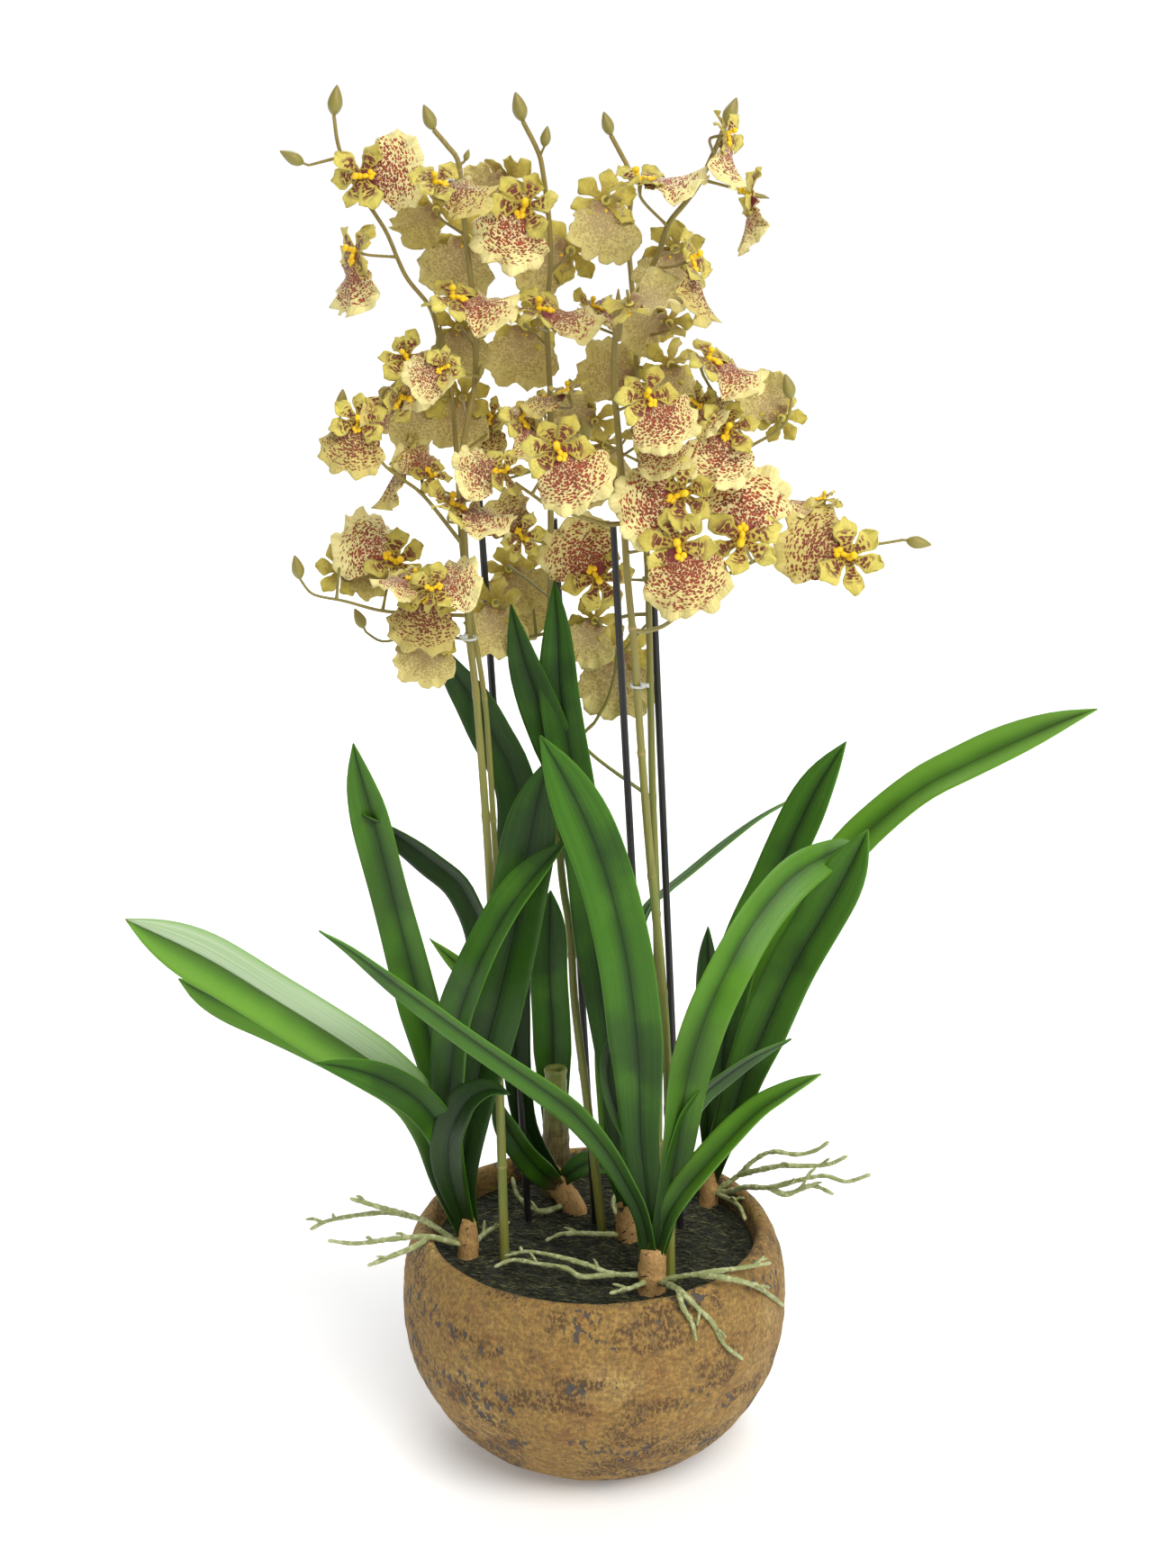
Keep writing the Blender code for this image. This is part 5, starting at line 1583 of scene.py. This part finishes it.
def lip_mesh(kind, finish):
    """The broad two-lobed lip with its frilled rim and the two small lobes beside the throat."""
    draw = random.Random(200 + kind)
    phases = (draw.uniform(0, 6.3), draw.uniform(0, 6.3), draw.uniform(0, 6.3), draw.uniform(-9.0, 2.0),
              draw.uniform(-8.0, 3.0))
    surface = Surface()
    tone = draw.random()
    sides = []
    for face in (1, -1):
        back = (1 - face) / 2
        shift = Vector((0, 0, face * LIP_THICK / 2))
        place = lip_place(0, 0, phases)
        middle = surface.add(place + shift, (0.5, place.y / LIP_MAP), back, tone)
        rings = []
        for ring in range(1, LIP_RINGS + 1):
            share = (ring / LIP_RINGS) ** 0.85
            row = []
            for spoke in range(LIP_SPOKES):
                angle = math.pi * (2 * (spoke + 0.5) / LIP_SPOKES - 1)
                place = lip_place(angle, share, phases)
                row.append(surface.add(place + shift, (place.x / LIP_MAP + 0.5, place.y / LIP_MAP), back,
                                       tone))
            rings.append(row)
        for spoke in range(LIP_SPOKES):
            after = (spoke + 1) % LIP_SPOKES
            patch = [(middle, rings[0][after], rings[0][spoke])]
            for inner, outer in zip(rings, rings[1:]):
                patch.append((inner[spoke], inner[after], outer[after], outer[spoke]))
            surface.faces += patch if face == 1 else [tuple(reversed(corners)) for corners in patch]
        sides.append(rings[-1])
    front, rear = sides
    for spoke in range(LIP_SPOKES):
        after = (spoke + 1) % LIP_SPOKES
        surface.faces.append((front[spoke], front[after], rear[after], rear[spoke]))
    return surface.mesh(f"lip_{kind}", finish)


def column_mesh(kind, finish):
    """The upright yellow column with its round cap, and the lobed yellow callus at the lip's throat."""
    draw = random.Random(300 + kind)
    surface = Surface()
    lean = Vector((draw.uniform(-0.6, 0.6), draw.uniform(-1.6, 0.2), 0))
    knobs = [((0, -0.6, 2.0), (2.0, 2.0, 2.2), 0.5), ((0, -0.9, 4.4), (1.35, 1.35, 2.6), 0.4),
             ((0, -1.2, 7.6), (2.0, 2.1, 2.0), 0.2), ((0, 2.6, 2.2), (1.5, 2.2, 1.6), 0.4),
             ((1.5, 5.6, 2.0), (1.7, 1.8, 1.4), 0.3), ((-1.5, 5.6, 2.0), (1.7, 1.8, 1.4), 0.3),
             ((0, 7.0, 1.9), (1.3, 1.6, 1.2), 0.6)]
    for number, (place, (a, b, c), tone) in enumerate(knobs):
        shift = lean * (place[2] / 8)
        if number > 2:
            shift = Vector((draw.uniform(-0.3, 0.3), draw.uniform(-0.3, 0.3), 0))
        add_knob(surface, Vector(place) + shift, (Vector((a, 0, 0)), Vector((0, b, 0)), Vector((0, 0, c))),
                 0.12, kind * 9 + number, 12, tone)
    return surface.mesh(f"column_{kind}", finish)


def bud_mesh(kind, finish):
    """A pointed bud 15 mm long with three soft ridges, upright on its foot."""
    surface = Surface()
    outline = [(0.7, 0.0), (1.6, 0.7), (2.9, 2.4), (3.7, 4.8), (3.75, 6.4), (3.2, 9.0), (2.2, 11.6),
               (1.1, 13.8), (0.35, 15.0)]
    rows = fine_outline(outline, 16)

    def ridged(radius, height, way, row):
        """Three soft ridges along the bud."""
        turn = math.atan2(way.y, way.x)
        return radius * (1 + 0.07 * math.cos(3 * turn + height * 0.08 + kind)), height

    turned(surface, rows, 15, wobble=ridged)
    surface.map_height(0, BUD_LENGTH)
    return surface.mesh(f"bud_{kind}", finish)


def bract_line(place, length):
    """A pointed sheath that hugs the stem, from its foot upwards."""
    foot = sight(*place)
    path = [foot + Vector((0.5 * step / 6, -0.4 * step / 6, length * step / 6)) for step in range(7)]
    return path, [2.2, 3.2, 3.4, 3.1, 2.4, 1.5, 0.4], 0.3


def stem_parts(name, spray, draw):
    """The spray's stem lines, bud points and bloom rows, all hung on one another."""
    lines = [bract_line(place, length) for place, length in BRACTS.get(name, ())]
    buds = []
    axes = []
    for number, (radius, bud, places) in enumerate(spray["stems"]):
        points = [sight(*place) for place in places]
        if number == 0:
            points[0] = Vector((points[0].x, points[0].y, SOIL_TOP - 8))
        else:
            points[0] = nearest_on(axes, points[0])
        if bud:
            way = (points[-1] - points[-2]).normalized()
            tip = points[-1]
            points[-1] = tip - way * (bud * 0.97)
            if (points[-1] - points[-2]).dot(way) < 1:
                points.pop(-2)
            over = way.orthogonal().normalized()
            turn = axes_matrix(over, way.cross(over), way)
            size = bud / BUD_LENGTH
            buds.append((points[-1], turn, Vector((size, size, size)), draw.randrange(3), draw.random()))
        count = max(6, round(path_length(points) / 3.0))
        path = smooth_path(points, count)
        axes.append(path)
        radii = []
        tones = []
        run = draw.uniform(0, 40)
        for station, place in enumerate(path):
            if station:
                run += (place - path[station - 1]).length
            near = abs((run + JOINT_GAP / 2) % JOINT_GAP - JOINT_GAP / 2)
            ring = max(0.0, 1 - near / 2.6)
            along = station / count
            taper = 1 - 0.4 * along if number else 1.3 - 0.7 * along
            radii.append(radius * taper * (1 + 0.22 * ring + 0.04 * noise.noise(place / 6)))
            tones.append(0.3 + 0.6 * ring)
        lines.append((path, radii, tones))
    rows = []
    for number, row in enumerate(spray["blooms"]):
        middle, lip, across, normal = bloom_frame(*row[:6])
        size = row[6]
        goal = middle - Vector((0, 0, STALK_REACH)) - normal * STALK_REACH
        root = nearest_on(axes, goal)
        stalk = smooth_path([middle, middle - normal * STALK_REACH, root], 12)
        lines.append((stalk, [1.5, 1.3] + [0.95] * 8 + [1.1, 1.4], 0.3))
        turn = axes_matrix(across, lip, normal)
        rows.append((middle, turn, Vector((size, size, size)), draw.randrange(BLOOM_KINDS), draw.random()))
    return lines, buds, rows


def build_spray(name, spray, trees, finishes, shapes):
    """Stems, buds, petals, lips and columns of one spray, as five pieces."""
    draw = random.Random(name)
    lines, buds, rows = stem_parts(name, spray, draw)
    stems = grown(name + "_stems", trees["rods"], line_mesh(name + "_lines", lines),
                  {"Sides": 10, "Girth": STEM_GIRTH, "Finish": finishes["stem"]})
    finished(stems, "stem", name)
    for part, slot, points in (("petals", "petal", rows), ("lips", "petal", rows),
                               ("columns", "column", rows), ("buds", "stem", buds)):
        made = grown(f"{name}_{part}", trees["flowers"], point_mesh(f"{name}_{part}_points", points),
                     {"Shapes": shapes[part], "Finish": finishes[part]})
        finished(made, slot)


def build_tie(name, ring, radius, knot, finish):
    """A clear wire tie: a flat band round the stem and its twisted ends."""
    middle = sight(*ring)
    surface = Surface()
    sides = 40
    outline = ((radius + 0.1, -0.75), (radius + 0.75, -0.7), (radius + 0.95, 0), (radius + 0.75, 0.7),
               (radius + 0.1, 0.75), (radius - 0.1, 0))
    rings = []
    for step in range(sides):
        turn = 2 * math.pi * step / sides
        rings.append([surface.add(middle + Vector((out * math.cos(turn), out * math.sin(turn), lift)))
                      for out, lift in outline])
    for here, after in zip(rings, rings[1:] + rings[:1]):
        for corner in range(len(outline)):
            nxt = (corner + 1) % len(outline)
            surface.faces.append((here[corner], after[corner], after[nxt], here[nxt]))
    centre = sight(*knot)
    for side in (-1, 1):
        path = []
        for step in range(10):
            twist = step * 0.9 + (math.pi if side > 0 else 0)
            path.append(centre + Vector((-2.2 + 0.5 * step, 0.7 * math.cos(twist), 0.7 * math.sin(twist))))
        add_rod(surface, path, [0.7] * 10, 6)
    return finished(surface.object(name + "_band", finish), "tie", name)


def shade(label, text):
    """A colour property with this label, whose default is the colour written as six hex digits."""
    return FloatVectorProperty(name=label, description=f"Colour of the {label.lower()}", size=3,
                               subtype="COLOR", min=0.0, max=1.0, default=srgb(text)[:3])


class OrchidSizes(bpy.types.PropertyGroup):
    """Sizes and lights of the scene"""

    bowl_sides: IntProperty(name="Bowl sides", description="Places round the bowl", default=176, min=24,
                            max=400)
    fibre_density: FloatProperty(name="Moss fibres", description="Fibres on a square metre of moss",
                                 default=150000.0, min=0.0, max=400000.0)
    sun_strength: FloatProperty(name="Overhead light", description="Strength of the soft light from above",
                                default=2.1, min=0.0)
    key_power: FloatProperty(name="Key light", description="Power of the light from the right",
                             default=15.0, min=0.0, subtype="POWER", unit="POWER")
    rim_power: FloatProperty(name="Rim light", description="Power of the light from behind and above",
                             default=30.0, min=0.0, subtype="POWER", unit="POWER")
    floor_reach: FloatProperty(name="Floor reach", description="Half the width of the floor", default=9.0,
                               min=1.0, subtype="DISTANCE", unit="LENGTH")


class OrchidColours(bpy.types.PropertyGroup):
    """Colours of the finishes"""

    clay: shade("Clay", "AA8746")
    clay_pale: shade("Pale clay", "C8A866")
    clay_red: shade("Red clay specks", "87522C")
    clay_dark: shade("Dark clay", "5E4526")
    slate: shade("Slate smears", "4A484A")
    moss: shade("Moss", "26281A")
    moss_green: shade("Green moss", "535636")
    moss_pale: shade("Pale moss fibres", "827F50")
    leaf: shade("Leaf", "40740F")
    # Also used for the painted shade at the leaf's foot and along its groove.
    leaf_deep_and_shade: shade("Deep leaf", "142A0A")
    leaf_pale: shade("Pale leaf", "5F9722")
    # Also carries the painted shadow along the leaf's groove.
    leaf_rib_and_shade: shade("Leaf rib", "162E0E")
    leaf_yellow: shade("Yellow leaf", "75A736")
    # Colour of the painted sheen on the palest leaves.
    leaf_painted_sheen: shade("Leaf gleam", "C4D8B4")
    sheath: shade("Sheath", "A57C46")
    sheath_pale: shade("Pale sheath", "C09A62")
    sheath_dark: shade("Dark sheath", "4A3320")
    root: shade("Root", "8E955F")
    root_pale: shade("Root tip", "B0B484")
    root_dark: shade("Dark root", "6B7243")
    stem: shade("Stem", "968440")
    stem_green: shade("Green stem", "768838")
    stem_dark: shade("Stem ring", "6A5E2E")
    bud: shade("Bud", "8C8A3C")
    petal: shade("Petal", "E8DB6C")
    # Also the colour of the painted shade on blooms.
    petal_olive: shade("Olive petal", "B69E28")
    petal_spot: shade("Petal spots", "74301A")
    lip: shade("Lip", "F8ECA4")
    lip_blush: shade("Lip blush", "F6DDB0")
    lip_spot: shade("Lip spots", "A6401C")
    # Also the spot colour of blooms in painted shade.
    lip_spot_dark: shade("Dark lip spots", "5A2410")
    throat: shade("Throat patches", "942E34")
    column: shade("Column", "F8CC10")
    column_deep: shade("Column hollows", "E09A12")
    stick: shade("Sticks", "17171A")
    tie: shade("Ties", "E9EBE6")


class OrchidOperator:
    """Gives the operators the sizes, and each finish and tree once."""

    def sizes(self, context):
        """The sizes that the panel shows."""
        return context.scene.orchid_sizes

    def finish(self, context, name, maker):
        """The finish of this name, made the first time."""
        return bpy.data.materials.get(name) or maker(context.scene.orchid_colours)

    def tree(self, name, maker):
        """The tree of this name, made the first time."""
        return bpy.data.node_groups.get(name) or maker()


class ORCHID_OT_bowl(OrchidOperator, bpy.types.Operator):
    """Adds the bulging earthenware bowl with its rolled rim"""

    bl_idname = "orchid.bowl"
    bl_label = "Earthenware bowl"

    def execute(self, context):
        bowl = build_bowl(self.sizes(context), self.finish(context, "ochre_clay", earthenware_finish))
        finished(bowl, "earthenware", "pot")
        return {"FINISHED"}


class ORCHID_OT_moss(OrchidOperator, bpy.types.Operator):
    """Adds the dark moss filling with its loose fibres"""

    bl_idname = "orchid.moss"
    bl_label = "Moss"

    def execute(self, context):
        sizes = self.sizes(context)
        moss = build_moss(self.finish(context, "dark_moss", moss_finish))
        finished(moss, "moss_soil", "soil")
        trees = {"fibres": self.tree("fibres_on_moss", fibres_tree)}
        fibres = build_fibres(sizes, trees, self.finish(context, "moss_fibre", fibre_finish))
        finished(fibres, "moss_soil")
        return {"FINISHED"}


class ORCHID_OT_plants(OrchidOperator, bpy.types.Operator):
    """Adds the five leafy plants: strap leaves, dry sheaths and aerial roots"""

    bl_idname = "orchid.plants"
    bl_label = "Leafy plants"

    def execute(self, context):
        trees = {"rods": self.tree("rods_on_lines", rods_tree)}
        finishes = {"leaf": self.finish(context, "leaf_green", leaf_finish),
                    "sheath": self.finish(context, "sheath_paper", sheath_finish),
                    "root": self.finish(context, "root_skin", root_finish)}
        for name, plant in PLANTS.items():
            build_plant(name, plant, trees, finishes)
        return {"FINISHED"}


class ORCHID_OT_stump(OrchidOperator, bpy.types.Operator):
    """Adds the cut trunk with its open top and the tall leaf behind it"""

    bl_idname = "orchid.stump"
    bl_label = "Cut trunk"

    def execute(self, context):
        build_stump({"stump": self.finish(context, "stump_bark", stump_finish),
                     "leaf": self.finish(context, "leaf_green", leaf_finish)})
        return {"FINISHED"}


class ORCHID_OT_sticks(OrchidOperator, bpy.types.Operator):
    """Adds the thin black support sticks"""

    bl_idname = "orchid.sticks"
    bl_label = "Support sticks"

    def execute(self, context):
        trees = {"rods": self.tree("rods_on_lines", rods_tree)}
        for name, (foot, top) in STICKS.items():
            build_stick(name, foot, top, trees, self.finish(context, "stick_black", stick_finish))
        return {"FINISHED"}


class ORCHID_OT_sprays(OrchidOperator, bpy.types.Operator):
    """Adds the flower sprays: stems, buds, petals, lips and columns"""

    bl_idname = "orchid.sprays"
    bl_label = "Flower sprays"

    def execute(self, context):
        trees = {"rods": self.tree("rods_on_lines", rods_tree),
                 "flowers": self.tree("flowers_on_points", flowers_tree)}
        finishes = {"stem": self.finish(context, "stem_skin", stem_finish),
                    "buds": self.finish(context, "bud_skin", bud_finish),
                    "petals": self.finish(context, "petal_cloth", petal_finish),
                    "lips": self.finish(context, "lip_cloth", lip_finish),
                    "columns": self.finish(context, "column_wax", column_finish)}
        kinds = range(BLOOM_KINDS)
        shapes = {"petals": hidden_shapes("petal_shapes",
                                          [petals_mesh(kind, finishes["petals"]) for kind in kinds]),
                  "lips": hidden_shapes("lip_shapes", [lip_mesh(kind, finishes["lips"]) for kind in kinds]),
                  "columns": hidden_shapes("column_shapes",
                                           [column_mesh(kind, finishes["columns"]) for kind in kinds]),
                  "buds": hidden_shapes("bud_shapes",
                                        [bud_mesh(kind, finishes["buds"]) for kind in range(3)])}
        for name, spray in SPRAYS.items():
            build_spray(name, spray, trees, finishes, shapes)
        for held in shapes.values():
            drop_shapes(held)
        return {"FINISHED"}


class ORCHID_OT_ties(OrchidOperator, bpy.types.Operator):
    """Adds the small clear ties round the stems"""

    bl_idname = "orchid.ties"
    bl_label = "Stem ties"

    def execute(self, context):
        for name, (ring, radius, knot) in TIES.items():
            build_tie(name, ring, radius, knot, self.finish(context, "tie_clear", tie_finish))
        return {"FINISHED"}


def add_light(name, kind, place, power, spread_size, colour):
    """A soft light aimed at the middle of the plant, with its size in metres, or its angle for a sun."""
    data = bpy.data.lights.new(name, kind)
    data.energy = power
    data.color = colour
    if kind == "SUN":
        data.angle = spread_size
    else:
        data.size = spread_size
    lamp = bpy.data.objects.new(name, data)
    lamp.location = place
    lamp.rotation_euler = (Vector((0, 0, 0.45)) - Vector(place)).to_track_quat("-Z", "Y").to_euler()
    bpy.context.scene.collection.objects.link(lamp)


class ORCHID_OT_stage(OrchidOperator, bpy.types.Operator):
    """Adds the pale floor, the soft lights and the camera"""

    bl_idname = "orchid.stage"
    bl_label = "Floor, lights and camera"

    def execute(self, context):
        sizes = self.sizes(context)
        reach = sizes.floor_reach
        mesh = bpy.data.meshes.new("studio_floor")
        mesh.from_pydata([(-reach, -reach, 0), (reach, -reach, 0), (reach, reach, 0), (-reach, reach, 0)],
                         [], [(0, 1, 2, 3)])
        mesh.materials.append(floor_finish())
        floor = bpy.data.objects.new("studio_floor", mesh)
        context.scene.collection.objects.link(floor)
        world = bpy.data.worlds.new("studio")
        world.use_nodes = True
        back = world.node_tree.nodes["Background"]
        back.inputs["Color"].default_value = (0.98, 0.985, 1.0, 1.0)
        seen = put(world.node_tree, "ShaderNodeLightPath")["Is Camera Ray"]
        world.node_tree.links.new(spread(world.node_tree, seen, 0.0, 1.0, SKY_LIGHT, SKY_SEEN),
                                  back.inputs["Strength"])
        context.scene.world = world
        add_light("overhead", "SUN", (0.5, -1.0, 1.9), sizes.sun_strength, math.radians(40),
                  (1.0, 0.99, 0.96))
        add_light("key", "AREA", (1.9, -1.3, 1.4), sizes.key_power, 1.0, (1.0, 0.99, 0.96))
        add_light("rim", "AREA", (-0.3, 1.8, 1.9), sizes.rim_power, 1.8, (1.0, 1.0, 1.0))
        data = bpy.data.cameras.new("camera")
        data.lens = LENS
        data.sensor_width = SENSOR
        eye = bpy.data.objects.new("camera", data)
        eye.location = EYE * MM
        eye.rotation_euler = (math.radians(EYE_TILT), 0, 0)
        context.scene.collection.objects.link(eye)
        context.scene.camera = eye
        context.scene.view_settings.view_transform = "Standard"
        return {"FINISHED"}


STEPS = (ORCHID_OT_bowl, ORCHID_OT_moss, ORCHID_OT_plants, ORCHID_OT_stump, ORCHID_OT_sticks,
         ORCHID_OT_sprays, ORCHID_OT_ties, ORCHID_OT_stage)


class ORCHID_PT_panel(bpy.types.Panel):
    """Shows a button for each step, and the sizes and colours"""

    bl_idname = "ORCHID_PT_panel"
    bl_label = "Potted orchid"
    bl_space_type = "VIEW_3D"
    bl_region_type = "UI"
    bl_category = "Orchid"

    def draw(self, context):
        """Draws the buttons and the settings."""
        for step in STEPS:
            self.layout.operator(step.bl_idname)
        for group in (context.scene.orchid_sizes, context.scene.orchid_colours):
            box = self.layout.box()
            for label in group.__annotations__:
                box.prop(group, label)


CLASSES = (OrchidSizes, OrchidColours, *STEPS, ORCHID_PT_panel)


def register():
    """Adds the classes and their settings to Blender."""
    for kind in CLASSES:
        bpy.utils.register_class(kind)
    bpy.types.Scene.orchid_sizes = PointerProperty(type=OrchidSizes)
    bpy.types.Scene.orchid_colours = PointerProperty(type=OrchidColours)


def unregister():
    """Takes them away again."""
    del bpy.types.Scene.orchid_colours
    del bpy.types.Scene.orchid_sizes
    for kind in reversed(CLASSES):
        bpy.utils.unregister_class(kind)


def main():
    """Builds the orchid step by step."""
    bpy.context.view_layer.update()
    register()
    streaks_group()
    blotches_group()
    flecks_group()
    bpy.ops.orchid.bowl()
    bpy.ops.orchid.moss()
    bpy.ops.orchid.plants()
    bpy.ops.orchid.stump()
    bpy.ops.orchid.sticks()
    bpy.ops.orchid.sprays()
    bpy.ops.orchid.ties()
    bpy.ops.orchid.stage()


if __name__ == "__main__":
    main()
